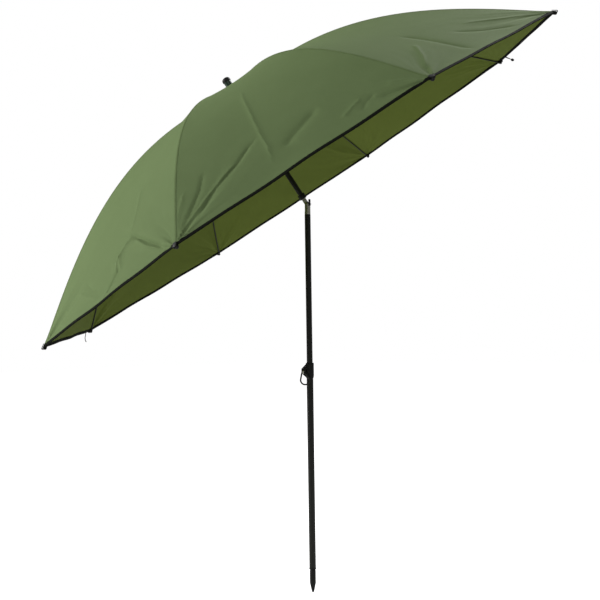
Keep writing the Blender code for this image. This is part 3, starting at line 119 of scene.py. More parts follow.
BLACK_PAINT = Finish(
    "satin_black_paint", Slot.BLACK_PAINT, Effect.SPECKLE,
    (0.006, 0.007, 0.004), (0.012, 0.013, 0.009), 0.36, 0.14, 0.9 * MM, 0.02 * MM, coat=0.10, specular=0.3,
)
PLATED_STEEL = Finish(
    "bright_plating", Slot.PLATED_STEEL, Effect.BRUSHED,
    (0.56, 0.56, 0.47), (0.40, 0.40, 0.33), 0.28, 0.14, 0.5 * MM, 0.012 * MM, metallic=1.0,
)
SPRING_STEEL = Finish(
    "spring_steel", Slot.SPRING_STEEL, Effect.BRUSHED,
    (0.050, 0.050, 0.055), (0.030, 0.030, 0.034), 0.38, 0.12, 0.5 * MM, 0.01 * MM, metallic=1.0,
)
BLACK_PLASTIC = Finish(
    "moulded_black_plastic", Slot.BLACK_PLASTIC, Effect.SPECKLE,
    (0.006, 0.006, 0.006), (0.012, 0.012, 0.011), 0.52, 0.12, 0.5 * MM, 0.03 * MM, specular=0.25,
)
GREEN_PLASTIC = Finish(
    "moulded_green_plastic", Slot.GREEN_PLASTIC, Effect.SPECKLE,
    (0.010, 0.034, 0.020), (0.018, 0.046, 0.028), 0.34, 0.12, 0.6 * MM, 0.02 * MM,
)
CLOTH_OUTSIDE = Finish(
    "coated_cloth_outside", Slot.CLOTH, Effect.WEAVE,
    (0.146, 0.205, 0.086), (0.170, 0.236, 0.103), 0.76, 0.10, 0.9 * MM, 0.05 * MM,
    specular=0.03, follows_surface=True,
)
CLOTH_INSIDE = Finish(
    "coated_cloth_inside", Slot.CLOTH, Effect.WEAVE,
    (0.136, 0.178, 0.032), (0.157, 0.204, 0.041), 0.74, 0.10, 0.9 * MM, 0.05 * MM,
    specular=0.05, follows_surface=True,
)
SEAM_CLOTH = replace(
    CLOTH_OUTSIDE, name="felled_seam", colour=(0.130, 0.184, 0.074), second_colour=(0.154, 0.214, 0.092),
    stitched=True,
)
HEM_TAPE = Finish(
    "black_hem_tape", Slot.CLOTH, Effect.WEAVE,
    (0.005, 0.006, 0.004), (0.009, 0.010, 0.007), 0.86, 0.06, 1.2 * MM, 0.08 * MM,
    specular=0.04, follows_surface=True, stitched=True,
)
GREY_CORD = Finish(
    "grey_cord", Slot.GREY_CORD, Effect.WEAVE,
    (0.030, 0.032, 0.030), (0.070, 0.072, 0.068), 0.82, 0.08, 1.1 * MM, 0.2 * MM, follows_surface=True,
)
BLACK_CORD = Finish(
    "dark_cord", Slot.BLACK_CORD, Effect.WEAVE,
    (0.012, 0.012, 0.012), (0.050, 0.050, 0.048), 0.82, 0.08, 1.0 * MM, 0.2 * MM, follows_surface=True,
)


class NodeBoard:
    """Places and joins nodes in one node tree."""

    def __init__(self, tree: bpy.types.NodeTree) -> None:
        """Work on the given tree."""
        self.tree = tree

    def add(self, kind: str, links: dict | None = None, **settings: object) -> Node:
        """Add a node.

        Args:
            kind: The node's type name.
            links: Input name or number to the socket or constant that it takes.
            settings: Properties set on the node itself.

        Returns:
            The new node.
        """
        made = self.tree.nodes.new(kind)
        for name, value in settings.items():
            setattr(made, name, value)
        for key, source in (links or {}).items():
            if isinstance(source, Socket):
                self.tree.links.new(source, made.inputs[key])
            else:
                made.inputs[key].default_value = source
        return made

    def sum_up(self, operation: str, *values: object) -> Socket:
        """Return the result of one Math node on the given sockets or numbers."""
        made = self.add("ShaderNodeMath", dict(enumerate(values)), operation=operation)
        return made.outputs[0]

    def mix(self, share: object, first: object, second: object) -> Socket:
        """Return a colour mixed from two, by a share."""
        made = self.add("ShaderNodeMix", {0: share, 6: first, 7: second}, data_type="RGBA")
        return made.outputs[2]


class EffectBoard(NodeBoard):
    """Lays out one shared effect between its group's inputs and outputs."""

    STITCH_HALF_WIDTH = 0.35 * MM
    STITCH_PITCH = 3.2 * MM
    STITCH_SHARE = 0.7
    BRUSH_STRETCH = (0.06, 0.06, 1.0)

    def __init__(self, tree: bpy.types.NodeTree) -> None:
        """Work on the given tree, whose sockets are made."""
        super().__init__(tree)
        self.entry = self.add("NodeGroupInput")

    def given(self, name: str) -> Socket:
        """Return one of the group's inputs."""
        return self.entry.outputs[name]

    def noise(self, place: Socket, grains: float, detail: float) -> Socket:
        """Add a noise.

        Args:
            place: Where it is read.
            grains: How many grains wide its features are.
            detail: Its detail.

        Returns:
            Its value.
        """
        scale = self.sum_up("DIVIDE", 1 / grains, self.given("Grain"))
        made = self.add("ShaderNodeTexNoise", {"Vector": place, "Scale": scale, "Detail": detail})
        return made.outputs[0]

    def finish_with(self, patch: Socket, height: Socket) -> tuple[Socket, ...]:
        """Let colour and roughness follow a patchy value.

        Args:
            patch: The value, round one half.
            height: The effect's height, which is passed on.

        Returns:
            The colour, the roughness and the height.
        """
        colour = self.mix(patch, self.given("Main Colour"), self.given("Second Colour"))
        centred = self.sum_up("SUBTRACT", patch, 0.5)
        swing = self.sum_up("MULTIPLY", centred, self.given("Spread"))
        return colour, self.sum_up("ADD", self.given("Roughness"), swing), height

    def speckle(self) -> tuple[Socket, ...]:
        """Lay fine grain over broad patches, as on paint and moulded plastic.

        Returns:
            The colour, the roughness and the height.
        """
        place = self.given("Place")
        fine = self.noise(place, 1, 2.0)
        blended = self.sum_up("MULTIPLY_ADD", fine, 0.35, 0.0)
        patch = self.sum_up("MULTIPLY_ADD", self.noise(place, 45, 4.0), 0.65, blended)
        return self.finish_with(patch, fine)

    def weave(self) -> tuple[Socket, ...]:
        """Weave plain cloth: each thread crosses over its neighbours in turn.

        Returns:
            The colour, the roughness and the height.
        """
        place = self.given("Place")
        split = self.add("ShaderNodeSeparateXYZ", {0: place})
        waves = []
        for axis in (0, 1):
            turns = self.sum_up("DIVIDE", split.outputs[axis], self.given("Grain"))
            wave = self.sum_up("SINE", self.sum_up("MULTIPLY", turns, math.pi))
            waves.append((wave, self.sum_up("ABSOLUTE", wave)))
        over = self.sum_up("GREATER_THAN", self.sum_up("MULTIPLY", waves[0][0], waves[1][0]), 0.0)
        under = self.sum_up("SUBTRACT", 1.0, over)
        warp = self.sum_up("MULTIPLY", waves[0][1], over)
        height = self.sum_up("MULTIPLY_ADD", waves[1][1], under, warp)
        threads = self.sum_up("MULTIPLY", height, 0.3)
        patch = self.sum_up("MULTIPLY_ADD", self.noise(place, 120, 5.0), 0.7, threads)
        return self.finish_with(patch, height)

    def brushed(self) -> tuple[Socket, ...]:
        """Draw fine lines round a turned piece, under patches of wear.

        Returns:
            The colour, the roughness and the height.
        """
        place = self.given("Place")
        stretched = self.add("ShaderNodeMapping", {"Vector": place, "Scale": self.BRUSH_STRETCH})
        lines = self.noise(stretched.outputs[0], 1, 3.0)
        part = self.sum_up("MULTIPLY", lines, 0.4)
        patch = self.sum_up("MULTIPLY_ADD", self.noise(place, 20, 3.0), 0.6, part)
        return self.finish_with(patch, lines)

    def stitches(self) -> tuple[Socket, ...]:
        """Sew two rows of stitches along a strip whose map runs across from zero at its middle.

        Returns:
            The colour, the roughness and the height.
        """
        split = self.add("ShaderNodeSeparateXYZ", {0: self.given("Place")})
        aside = self.sum_up("ABSOLUTE", split.outputs[0])
        row = self.sum_up("COMPARE", aside, self.given("Grain"), self.STITCH_HALF_WIDTH)
        beat = self.sum_up("FRACT", self.sum_up("DIVIDE", split.outputs[1], self.STITCH_PITCH))
        thread = self.sum_up("MULTIPLY", row, self.sum_up("LESS_THAN", beat, self.STITCH_SHARE))
        colour = self.mix(thread, self.given("Main Colour"), self.given("Second Colour"))
        swing = self.sum_up("MULTIPLY", thread, self.given("Spread"))
        return colour, self.sum_up("ADD", self.given("Roughness"), swing), thread


class FinishShop:
    """Makes one material for each finish, and one node group for each shared effect."""

    THREAD_ASIDE = 2.6 * MM
    THREAD_HEIGHT = 0.15 * MM
    EFFECT_INPUTS = (
        ("Place", "NodeSocketVector"),
        ("Grain", "NodeSocketFloat"),
        ("Main Colour", "NodeSocketColor"),
        ("Second Colour", "NodeSocketColor"),
        ("Roughness", "NodeSocketFloat"),
        ("Spread", "NodeSocketFloat"),
    )
    EFFECT_OUTPUTS = (
        ("Colour", "NodeSocketColor"), ("Roughness", "NodeSocketFloat"), ("Height", "NodeSocketFloat"),
    )
    RECIPES = {
        Effect.SPECKLE: EffectBoard.speckle,
        Effect.WEAVE: EffectBoard.weave,
        Effect.BRUSHED: EffectBoard.brushed,
        Effect.STITCHES: EffectBoard.stitches,
    }

    def __init__(self) -> None:
        """Start with nothing made."""
        self.groups: dict[Effect, bpy.types.NodeTree] = {}
        self.made: dict[str, bpy.types.Material] = {}

    def group(self, effect: Effect) -> bpy.types.NodeTree:
        """Find an effect's node group, which is built at its first use.

        Args:
            effect: The effect.

        Returns:
            Its group.
        """
        if effect not in self.groups:
            tree = bpy.data.node_groups.new(effect.value, "ShaderNodeTree")
            for in_out, sockets in (("INPUT", self.EFFECT_INPUTS), ("OUTPUT", self.EFFECT_OUTPUTS)):
                for name, kind in sockets:
                    tree.interface.new_socket(name, in_out=in_out, socket_type=kind)
            board = EffectBoard(tree)
            board.add("NodeGroupOutput", dict(enumerate(self.RECIPES[effect](board))))
            self.groups[effect] = tree
        return self.groups[effect]

    def material(self, finish: Finish) -> bpy.types.Material:
        """Find a finish's material, which is made at its first use.

        Args:
            finish: The finish.

        Returns:
            Its material.
        """
        if finish.name not in self.made:
            self.made[finish.name] = self.build(finish)
        return self.made[finish.name]

    def build(self, finish: Finish) -> bpy.types.Material:
        """Build a Principled material fed by the finish's effect.

        Args:
            finish: The finish.

        Returns:
            The material.
        """
        material = bpy.data.materials.new(finish.name)
        material.use_nodes = True
        board = NodeBoard(material.node_tree)
        shader = material.node_tree.nodes["Principled BSDF"]
        shader.inputs["Metallic"].default_value = finish.metallic
        shader.inputs["Coat Weight"].default_value = finish.coat
        shader.inputs["Specular IOR Level"].default_value = finish.specular
        place = board.add("ShaderNodeTexCoord").outputs["UV" if finish.follows_surface else "Object"]
        effect = self.place_effect(board, finish.effect, finish, place, finish.grain)
        colour, roughness, height = effect.outputs
        bump = board.add("ShaderNodeBump", {"Strength": 1.0, "Distance": finish.depth, "Height": height})
        normal = bump.outputs[0]
        if finish.stitched:
            rows = self.place_effect(board, Effect.STITCHES, finish, place, self.THREAD_ASIDE)
            board.tree.links.new(colour, rows.inputs["Main Colour"])
            board.tree.links.new(roughness, rows.inputs["Roughness"])
            colour, roughness, thread = rows.outputs
            raise_by = {"Strength": 1.0, "Distance": self.THREAD_HEIGHT, "Height": thread, "Normal": normal}
            normal = board.add("ShaderNodeBump", raise_by).outputs[0]
        for name, socket in (("Base Color", colour), ("Roughness", roughness), ("Normal", normal)):
            board.tree.links.new(socket, shader.inputs[name])
        return material

    def place_effect(
        self, board: NodeBoard, effect: Effect, finish: Finish, place: Socket, grain: float
    ) -> Node:
        """Place an effect's group in a material.

        Args:
            board: The material's nodes.
            effect: The effect.
            finish: The finish that gives its colours and roughness.
            place: The coordinates that it reads.
            grain: The size of its grain.

        Returns:
            The group's node.
        """
        values = {
            "Place": place,
            "Grain": grain,
            "Main Colour": (*finish.colour, 1.0),
            "Second Colour": (*finish.second_colour, 1.0),
            "Roughness": finish.roughness,
            "Spread": finish.spread,
        }
        return board.add("ShaderNodeGroup", values, node_tree=self.group(effect))

    def dress(self, obj: Piece, *finishes: Finish) -> None:
        """Give a piece its materials, in slot order.

        Args:
            obj: The piece.
            finishes: Its finishes, in slot order.
        """
        slots = obj.data.materials
        while len(slots) < len(finishes):
            slots.append(None)
        for number, finish in enumerate(finishes):
            slots[number] = self.material(finish)

    def dress_node(self, node: str, finish: Finish) -> None:
        """Give a carried-over CAD node a finish."""
        for slot in frame["nodes"][node].material_slots:
            slot.material = self.material(finish)


SHOP = FinishShop()


def arc_points(centre: tuple[float, float], radius: float, start: float, end: float, steps: int = 16) -> list:
    """Place points round part of a circle.

    Args:
        centre: The circle's middle.
        radius: Its radius.
        start: The first point's angle.
        end: The last point's angle.
        steps: The number of steps between them.

    Returns:
        The points.
    """
    turns = [start + (end - start) * n / steps for n in range(steps + 1)]
    return [(centre[0] + radius * math.cos(turn), centre[1] + radius * math.sin(turn)) for turn in turns]


# Shared modelling operations

SMOOTH_ANGLE = 35 * DEGREE
CLOTH_ANGLE = 60 * DEGREE
LEAST_RADIUS = 0.01 * MM
WELD = 0.005 * MM
RING_WELD = 0.02 * MM
SAME_SHARE = 1e-9
THIN_SHARE = 0.3
TUBE_EDGE = 0.4 * MM


def deselect() -> None:
    """Leave edit mode and deselect every object."""
    if bpy.context.mode != "OBJECT":
        bpy.ops.object.mode_set(mode="OBJECT")
    for obj in list(bpy.context.selected_objects):
        obj.select_set(False)


def pick(obj: Piece) -> None:
    """Make one object the only selected and the active one.

    Args:
        obj: The object.
    """
    deselect()
    obj.select_set(True)
    bpy.context.view_layer.objects.active = obj


def label(obj: Piece, name: str) -> Piece:
    """Name a piece and its mesh."""
    obj.name = obj.data.name = name
    return obj


def modify(obj: Piece, kind: str, **settings: object) -> None:
    """Add a modifier, set it and apply it.

    Args:
        obj: The piece.
        kind: The modifier's type.
        settings: Its settings.
    """
    pick(obj)
    modifier = obj.modifiers.new(kind.title(), kind)
    for key, value in settings.items():
        setattr(modifier, key, value)
    bpy.ops.object.modifier_apply(modifier=modifier.name)


def settle(obj: Piece, matrix: Matrix | None = None) -> Piece:
    """Put a piece's place into its mesh.

    Args:
        obj: The piece.
        matrix: A move that comes first.

    Returns:
        The piece.
    """
    pick(obj)
    if matrix is not None:
        obj.matrix_world = matrix @ obj.matrix_world
    bpy.ops.object.transform_apply(location=True, rotation=True, scale=True)
    return obj


def smooth(obj: Piece, angle: float = SMOOTH_ANGLE) -> None:
    """Shade a piece smooth across edges flatter than the angle."""
    pick(obj)
    bpy.ops.object.shade_smooth_by_angle(angle=angle)


def turned(name: str, rings: Rings, sides: int = 64, closed: bool = False) -> Piece:
    """Turn a profile about Z by extruding one ring after another.

    Args:
        name: The piece's name.
        rings: (radius, height) of each ring, down the outer side and back up any inner one.
        sides: The number of sides.
        closed: Whether the last ring joins the first, as in a tube's wall.

    Returns:
        The finished piece.
    """
    deselect()
    radius, height = rings[0]
    last = max(radius, LEAST_RADIUS)
    bpy.ops.mesh.primitive_circle_add(vertices=sides, radius=last, location=(0, 0, height))
    obj = label(bpy.context.object, name)
    settle(obj)
    bpy.ops.object.mode_set(mode="EDIT")
    bpy.ops.mesh.select_all(action="SELECT")
    path = list(rings[1:]) + ([rings[0]] if closed else [])
    for radius, height_next in path:
        bpy.ops.mesh.extrude_region_move(
            TRANSFORM_OT_translate={"value": (0, 0, height_next - height)}
        )
        target = max(radius, LEAST_RADIUS)
        if abs(target / last - 1) > SAME_SHARE:
            bpy.ops.transform.resize(
                value=(target / last, target / last, 1), center_override=(0, 0, height_next)
            )
        last, height = target, height_next
    bpy.ops.mesh.select_all(action="SELECT")
    bpy.ops.mesh.remove_doubles(threshold=RING_WELD)
    bpy.ops.mesh.normals_make_consistent(inside=False)
    bpy.ops.object.mode_set(mode="OBJECT")
    smooth(obj)
    return obj


def box(name: str, low: Sequence[float], high: Sequence[float], bevel: float = 0.0) -> Piece:
    """Add a box between two corners, with its edges rounded.

    Args:
        name: The piece's name.
        low: The lowest corner.
        high: The highest corner.
        bevel: The width of the rounding.

    Returns:
        The box.
    """
    deselect()
    size = [b - a for a, b in zip(low, high)]
    middle = [(a + b) / 2 for a, b in zip(low, high)]
    bpy.ops.mesh.primitive_cube_add(size=1, location=middle, scale=size)
    obj = label(bpy.context.object, name)
    settle(obj)
    if bevel:
        modify(obj, "BEVEL", width=bevel, segments=3, limit_method="ANGLE")
    smooth(obj)
    return obj


def rod(
    name: str, radius: float, start: Sequence[float], end: Sequence[float], sides: int = 32
) -> Piece:
    """Add a round bar between two points.

    Args:
        name: The piece's name.
        radius: The bar's radius.
        start: One end.
        end: The other end.
        sides: The number of sides.

    Returns:
        The bar.
    """
    deselect()
    first, last = Vector(start), Vector(end)
    bpy.ops.mesh.primitive_cylinder_add(vertices=sides, radius=radius, depth=(last - first).length)
    obj = label(bpy.context.object, name)
    turn = (last - first).to_track_quat("Z", "Y").to_matrix().to_4x4()
    settle(obj, Matrix.Translation((first + last) / 2) @ turn)
    smooth(obj)
    return obj


def curve_mesh(name: str, rims: Sequence[Sequence], cyclic: bool, **settings: object) -> Piece:
    """Make chains of points into one curve, and the curve into a mesh.

    Args:
        name: The piece's name.
        rims: The chains, of flat or solid points.
        cyclic: Whether they close.
        settings: The curve's settings.

    Returns:
        The mesh.
    """
    deselect()
    curve = bpy.data.curves.new(name, "CURVE")
    for key, value in settings.items():
        setattr(curve, key, value)
    for rim in rims:
        spline = curve.splines.new("POLY")
        spline.points.add(len(rim) - 1)
        for point, at in zip(spline.points, rim):
            x, y, z = (*at, 0)[:3]
            point.co = (x, y, z, 1)
        spline.use_cyclic_u = cyclic
    obj = bpy.data.objects.new(name, curve)
    bpy.context.scene.collection.objects.link(obj)
    pick(obj)
    bpy.ops.object.convert(target="MESH")
    return label(bpy.context.object, name)


def wire(name: str, points: Sequence[Sequence[float]], radius: float, cyclic: bool = False) -> Piece:
    """Add a round wire along a chain of points, as a mesh with its own map.

    Args:
        name: The piece's name.
        points: The chain.
        radius: The wire's radius.
        cyclic: Whether it closes.

    Returns:
        The wire.
    """
    obj = curve_mesh(
        name, [points], cyclic, dimensions="3D", bevel_depth=radius, bevel_resolution=4,
        use_fill_caps=not cyclic,
    )
    weld(obj)
    smooth(obj, CLOTH_ANGLE)
    return obj


def plate(
    name: str,
    outline: Sequence[tuple[float, float]],
    thickness: float,
    edge: float,
    place: Matrix | None = None,
    holes: Sequence[tuple[tuple[float, float], float]] = (),
) -> Piece:
    """Add a flat plate across Y with rounded edges.

    Args:
        name: The piece's name.
        outline: Its corners, as x and z.
        thickness: The size across Y, with Y zero in the middle.
        edge: The radius of the rounded edges.
        place: A move for the finished plate.
        holes: The centre and radius of each round hole.

    Returns:
        The plate.
    """
    rims = [outline] + [arc_points(centre, radius, 0, 2 * math.pi, 24)[:-1] for centre, radius in holes]
    obj = curve_mesh(
        name, rims, True, dimensions="2D", fill_mode="BOTH", extrude=thickness / 2 - edge,
        bevel_depth=edge, bevel_resolution=2, offset=-edge,
    )
    settle(obj, (place or Matrix()) @ Matrix.Rotation(math.pi / 2, 4, "X"))
    weld(obj)
    smooth(obj)
    return obj


def weld(obj: Piece) -> None:
    """Merge a piece's doubled corners.

    Args:
        obj: The piece.
    """
    pick(obj)
    bpy.ops.object.mode_set(mode="EDIT")
    bpy.ops.mesh.select_all(action="SELECT")
    bpy.ops.mesh.remove_doubles(threshold=WELD)
    bpy.ops.mesh.normals_make_consistent(inside=False)
    bpy.ops.object.mode_set(mode="OBJECT")


def join(name: str, pieces: Sequence[Piece]) -> Piece:
    """Join pieces into one object, each still a shell of its own.

    Args:
        name: The joined piece's name.
        pieces: The pieces.

    Returns:
        The joined piece.
    """
    deselect()
    for piece in pieces:
        piece.select_set(True)
    bpy.context.view_layer.objects.active = pieces[0]
    bpy.ops.object.join()
    return label(bpy.context.object, name)


def boolean(obj: Piece, other: Piece, operation: str) -> None:
    """Cut or join one piece with another, which is used up."""
    modify(obj, "BOOLEAN", operation=operation, solver="EXACT", object=other)
    bpy.data.objects.remove(other)


def duplicate(obj: Piece, name: str, matrix: Matrix) -> Piece:
    """Copy a piece with a mesh of its own.

    Args:
        obj: The piece.
        name: The copy's name.
        matrix: The copy's place.

    Returns:
        The copy.
    """
    twin = obj.copy()
    twin.data = obj.data.copy()
    bpy.context.scene.collection.objects.link(twin)
    label(twin, name)
    return settle(twin, matrix)


def lay_sheet(
    name: str,
    across: int,
    along: int,
    shape: Callable[[Array, Array], Array],
    chart: Callable[[Array, Array], Array],
    thickness: float,
    normals: Callable[[Array, Array], Array] | None = None,
    thin: Callable[[Array, Array], Array] | None = None,
) -> Piece:
    """Lay a grid over a formula and give it a thickness.

    Args:
        name: The piece's name.
        across: Cells across, where the formula's first share runs from 0 to 1.
        along: Cells along, where the second share runs from 0 to 1.
        shape: Gives the places for the two shares, as rows of x, y and z.
        chart: Gives the map in metres for the two shares, as rows of two.
        thickness: The wall, centred on the formula's surface.
        normals: Gives the outward directions that shade the sheet.
        thin: Says where the wall keeps only a share of its thickness.

    Returns:
        The sheet, with the side that the grid turns its back to in material slot 1.
    """
    deselect()
    bpy.ops.mesh.primitive_grid_add(x_subdivisions=across, y_subdivisions=along, size=2)
    obj = label(bpy.context.object, name)
    mesh = obj.data
    flat = np.empty(len(mesh.vertices) * 3)
    mesh.vertices.foreach_get("co", flat)
    shares = (flat.reshape(-1, 3)[:, :2] + 1) / 2
    middle = shape(shares[:, 0], shares[:, 1])
    mesh.vertices.foreach_set("co", middle.astype(np.float32).ravel())
    corners = np.empty(len(mesh.loops), dtype=np.int64)
    mesh.loops.foreach_get("vertex_index", corners)
    layer = mesh.uv_layers[0] if mesh.uv_layers else mesh.uv_layers.new(name="UVMap")
    layer.uv.foreach_set("vector", chart(shares[:, 0], shares[:, 1])[corners].astype(np.float32).ravel())
    mesh.update()
    mesh.materials.append(None)
    mesh.materials.append(None)
    settings = {"thickness": thickness, "offset": 0, "material_offset": 1, "material_offset_rim": 0}
    if thin is not None:
        group = obj.vertex_groups.new(name="full_thickness")
        group.add(np.flatnonzero(~thin(shares[:, 0], shares[:, 1])).tolist(), 1.0, "REPLACE")
        settings |= {"vertex_group": group.name, "thickness_vertex_group": THIN_SHARE}
    modify(obj, "SOLIDIFY", **settings)
    obj.vertex_groups.clear()
    smooth(obj, CLOTH_ANGLE)
    if normals is not None:
        shade_sheet(obj, middle, normals(shares[:, 0], shares[:, 1]))
    return obj


def shade_sheet(obj: Piece, middle: Array, normals: Array) -> None:
    """Shade both sides of a thickened sheet by the formula's own directions.

    Args:
        obj: The sheet, with one side's corners first and the other's after.
        middle: The places between the two sides.
        normals: The outward direction at each place.
    """
    mesh = obj.data
    flat = np.empty(len(mesh.vertices) * 3)
    mesh.vertices.foreach_get("co", flat)
    first = flat.reshape(-1, 3)[: len(middle)] - middle
    side = 1.0 if float((first * normals).sum()) > 0 else -1.0
    both = np.concatenate([normals * side, -normals * side])
    mesh.normals_split_custom_set_from_vertices(both.tolist())


@dataclass(frozen=True)
class RibLine:
    """The bent line of every rib, from its hinge at the crown to its tip."""

    length: float = 1194 * MM
    start_slope: float = -4 * DEGREE
    end_slope: float = 38.5 * DEGREE
    bends_early: float = 0.72
    steps: int = 1200

    def slope(self, along: Array) -> Array:
        """Return how steeply the rib falls at each distance from its hinge."""
        share = np.clip(along / self.length, 0, 1) ** self.bends_early
        return self.start_slope + (self.end_slope - self.start_slope) * (1 - np.cos(math.pi * share)) / 2

    def places(self, along: Array) -> tuple[Array, Array, Array]:
        """Follow the rib's line.

        Args:
            along: Distances from the hinge.

        Returns:
            The distance out, the height and the slope at each.
        """
        step = self.length / self.steps
        middles = (np.arange(self.steps) + 0.5) * step
        falls = self.slope(middles)
        out = np.concatenate(([0], np.cumsum(np.cos(falls) * step)))
        up = np.concatenate(([0], -np.cumsum(np.sin(falls) * step)))
        stations = np.arange(self.steps + 1) * step
        past = np.maximum(along - self.length, 0)
        before = np.minimum(along, 0)
        slope = self.slope(along)
        out_at = np.interp(along, stations, out) + past * math.cos(self.end_slope) + before
        up_at = np.interp(along, stations, up) - past * math.sin(self.end_slope)
        return out_at, up_at, slope


@dataclass(frozen=True)
class HeadFrame:
    """The head's own frame: its origin at the tilt pivot and its Z along the upper pole."""

    pivot_height: float = 1457 * MM
    lean: float = 32.4 * DEGREE
    rib_count: int = 8
    hinge_radius: float = 16 * MM
    crown_height: float = 490 * MM
    runner_height: float = 320 * MM

    @property
    def matrix(self) -> Matrix:
        """The head's place and lean at rest."""
        return Matrix.Translation((0, 0, self.pivot_height)) @ Matrix.Rotation(-self.lean, 4, "Y")

    def rib_angle(self, number: int) -> float:
        """Return the direction of a rib, numbered from 0."""
        return (number + 0.5) * 2 * math.pi / self.rib_count

    def rib_matrix(self, number: int) -> Matrix:
        """Return the place of a rib's own frame, with its hinge at the origin and X outwards."""
        turn = Matrix.Rotation(self.rib_angle(number), 4, "Z")
        return self.matrix @ turn @ Matrix.Translation((self.hinge_radius, 0, self.crown_height))

    def to_world(self, places: Array) -> Array:
        """Return head places as world places."""
        turn = np.array(self.matrix)
        return places @ turn[:3, :3].T + turn[:3, 3]


HEAD = HeadFrame()
RIB = RibLine()


@dataclass(frozen=True)
class Lamp:
    """One soft round light, aimed at the umbrella."""

    name: str
    place: tuple[float, float, float]
    power: float
    size: float = 2.6


@dataclass
class Studio:
    """Floor, lights and camera."""

    focal_pixels: float = 1027.6
    image_side: int = 600
    sensor: float = 36 * MM
    camera_place: tuple[float, float, float] = (-0.1126, -3.8335, 1.2371)
    camera_yaw: float = -1.191 * DEGREE
    camera_pitch: float = -2.007 * DEGREE
    camera_roll: float = 0.853 * DEGREE
    floor_radius: float = 9.0
    floor_drop: float = 1.5 * MM
    floor_grey: float = 0.80
    floor_glow: float = 0.93
    lamps: tuple[Lamp, ...] = (
        Lamp("light_left", (-4.1, 0.0, 2.5), 158.0),
        Lamp("light_behind", (1.9, 1.9, 4.6), 155.0),
        Lamp("light_front", (0.0, -3.8, 3.2), 20.0),
    )
    lamp_aim: tuple[float, float, float] = (0.0, 0.0, 1.3)
    world_light: float = 0.12
    world_gloss: float = 0.22

    def set_up(self) -> None:
        """Build the studio round the umbrella."""
        self.add_camera()
        self.add_floor()
        self.add_lights()
        self.add_world()
        bpy.context.scene.view_settings.view_transform = "Standard"

    def add_camera(self) -> None:
        """Stand the camera where the photograph was taken."""
        data = bpy.data.cameras.new("camera")
        data.sensor_width = self.sensor / MM
        data.lens = self.sensor / MM * self.focal_pixels / self.image_side
        camera = bpy.data.objects.new("camera", data)
        bpy.context.scene.collection.objects.link(camera)
        turn = (
            Matrix.Rotation(self.camera_yaw, 4, "Z")
            @ Matrix.Rotation(self.camera_pitch, 4, "X")
            @ Matrix.Rotation(self.camera_roll, 4, "Y")
        )
        look = Matrix.Rotation(90 * DEGREE, 4, "X")
        camera.matrix_world = Matrix.Translation(self.camera_place) @ turn @ look
        bpy.context.scene.camera = camera

    def add_floor(self) -> None:
        """Lay a white floor that keeps a faint shadow."""
        deselect()
        bpy.ops.mesh.primitive_circle_add(
            vertices=96, radius=self.floor_radius, fill_type="NGON", location=(0, 0, -self.floor_drop)
        )
        floor = settle(label(bpy.context.object, "studio_floor"))
        material = bpy.data.materials.new("white_floor")
        material.use_nodes = True
        board = NodeBoard(material.node_tree)
        shader = material.node_tree.nodes["Principled BSDF"]
        shader.inputs["Base Color"].default_value = (self.floor_grey, self.floor_grey, self.floor_grey, 1)
        shader.inputs["Roughness"].default_value = 0.9
        shader.inputs["Specular IOR Level"].default_value = 0.0
        shader.inputs["Emission Color"].default_value = (1, 1, 1, 1)
        rays = board.add("ShaderNodeLightPath")
        glow = board.sum_up("MULTIPLY", rays.outputs["Is Camera Ray"], self.floor_glow)
        board.tree.links.new(glow, shader.inputs["Emission Strength"])
        floor.data.materials.append(material)

    def add_lights(self) -> None:
        """Hang a soft light at the left, one behind at the right and a weak one in front."""
        for lamp in self.lamps:
            data = bpy.data.lights.new(lamp.name, "AREA")
            data.shape = "DISK"
            data.size = lamp.size
            data.energy = lamp.power
            light = bpy.data.objects.new(lamp.name, data)
            bpy.context.scene.collection.objects.link(light)
            light.location = lamp.place
            aim = Vector(self.lamp_aim) - Vector(lamp.place)
            light.rotation_euler = aim.to_track_quat("-Z", "Y").to_euler()

    def add_world(self) -> None:
        """Show white to the camera and in reflections, and light the rest more weakly."""
        world = bpy.data.worlds.new("studio_world")
        bpy.context.scene.world = world
        world.use_nodes = True
        board = NodeBoard(world.node_tree)
        background = world.node_tree.nodes["Background"]
        background.inputs["Color"].default_value = (1, 1, 1, 1)
        rays = board.add("ShaderNodeLightPath")
        seen = board.sum_up("MAXIMUM", rays.outputs["Is Camera Ray"], rays.outputs["Is Transmission Ray"])
        shiny = board.sum_up("MULTIPLY", rays.outputs["Is Glossy Ray"], self.world_gloss)
        shown = board.sum_up("MAXIMUM", seen, shiny)
        level = board.sum_up("MAXIMUM", shown, self.world_light)
        board.tree.links.new(level, background.inputs["Strength"])


@dataclass(frozen=True)
class Fan:
    """Folds that spread over the cloth from a rib's tip, like rays."""

    height: float
    rays: float
    turn: float
    reach: float
    start: float
    wobble: float = 0.0


@dataclass(frozen=True)
class Crease:
    """A fold pressed into one gore along a chain of places.

    A place is a share across the gore, from its first rib to its second, and a distance from the crown
    in metres.
    """

    gore: int
    path: tuple[tuple[float, float], ...]
    depth: float
    width: float
    edge: float = 2.0 * MM


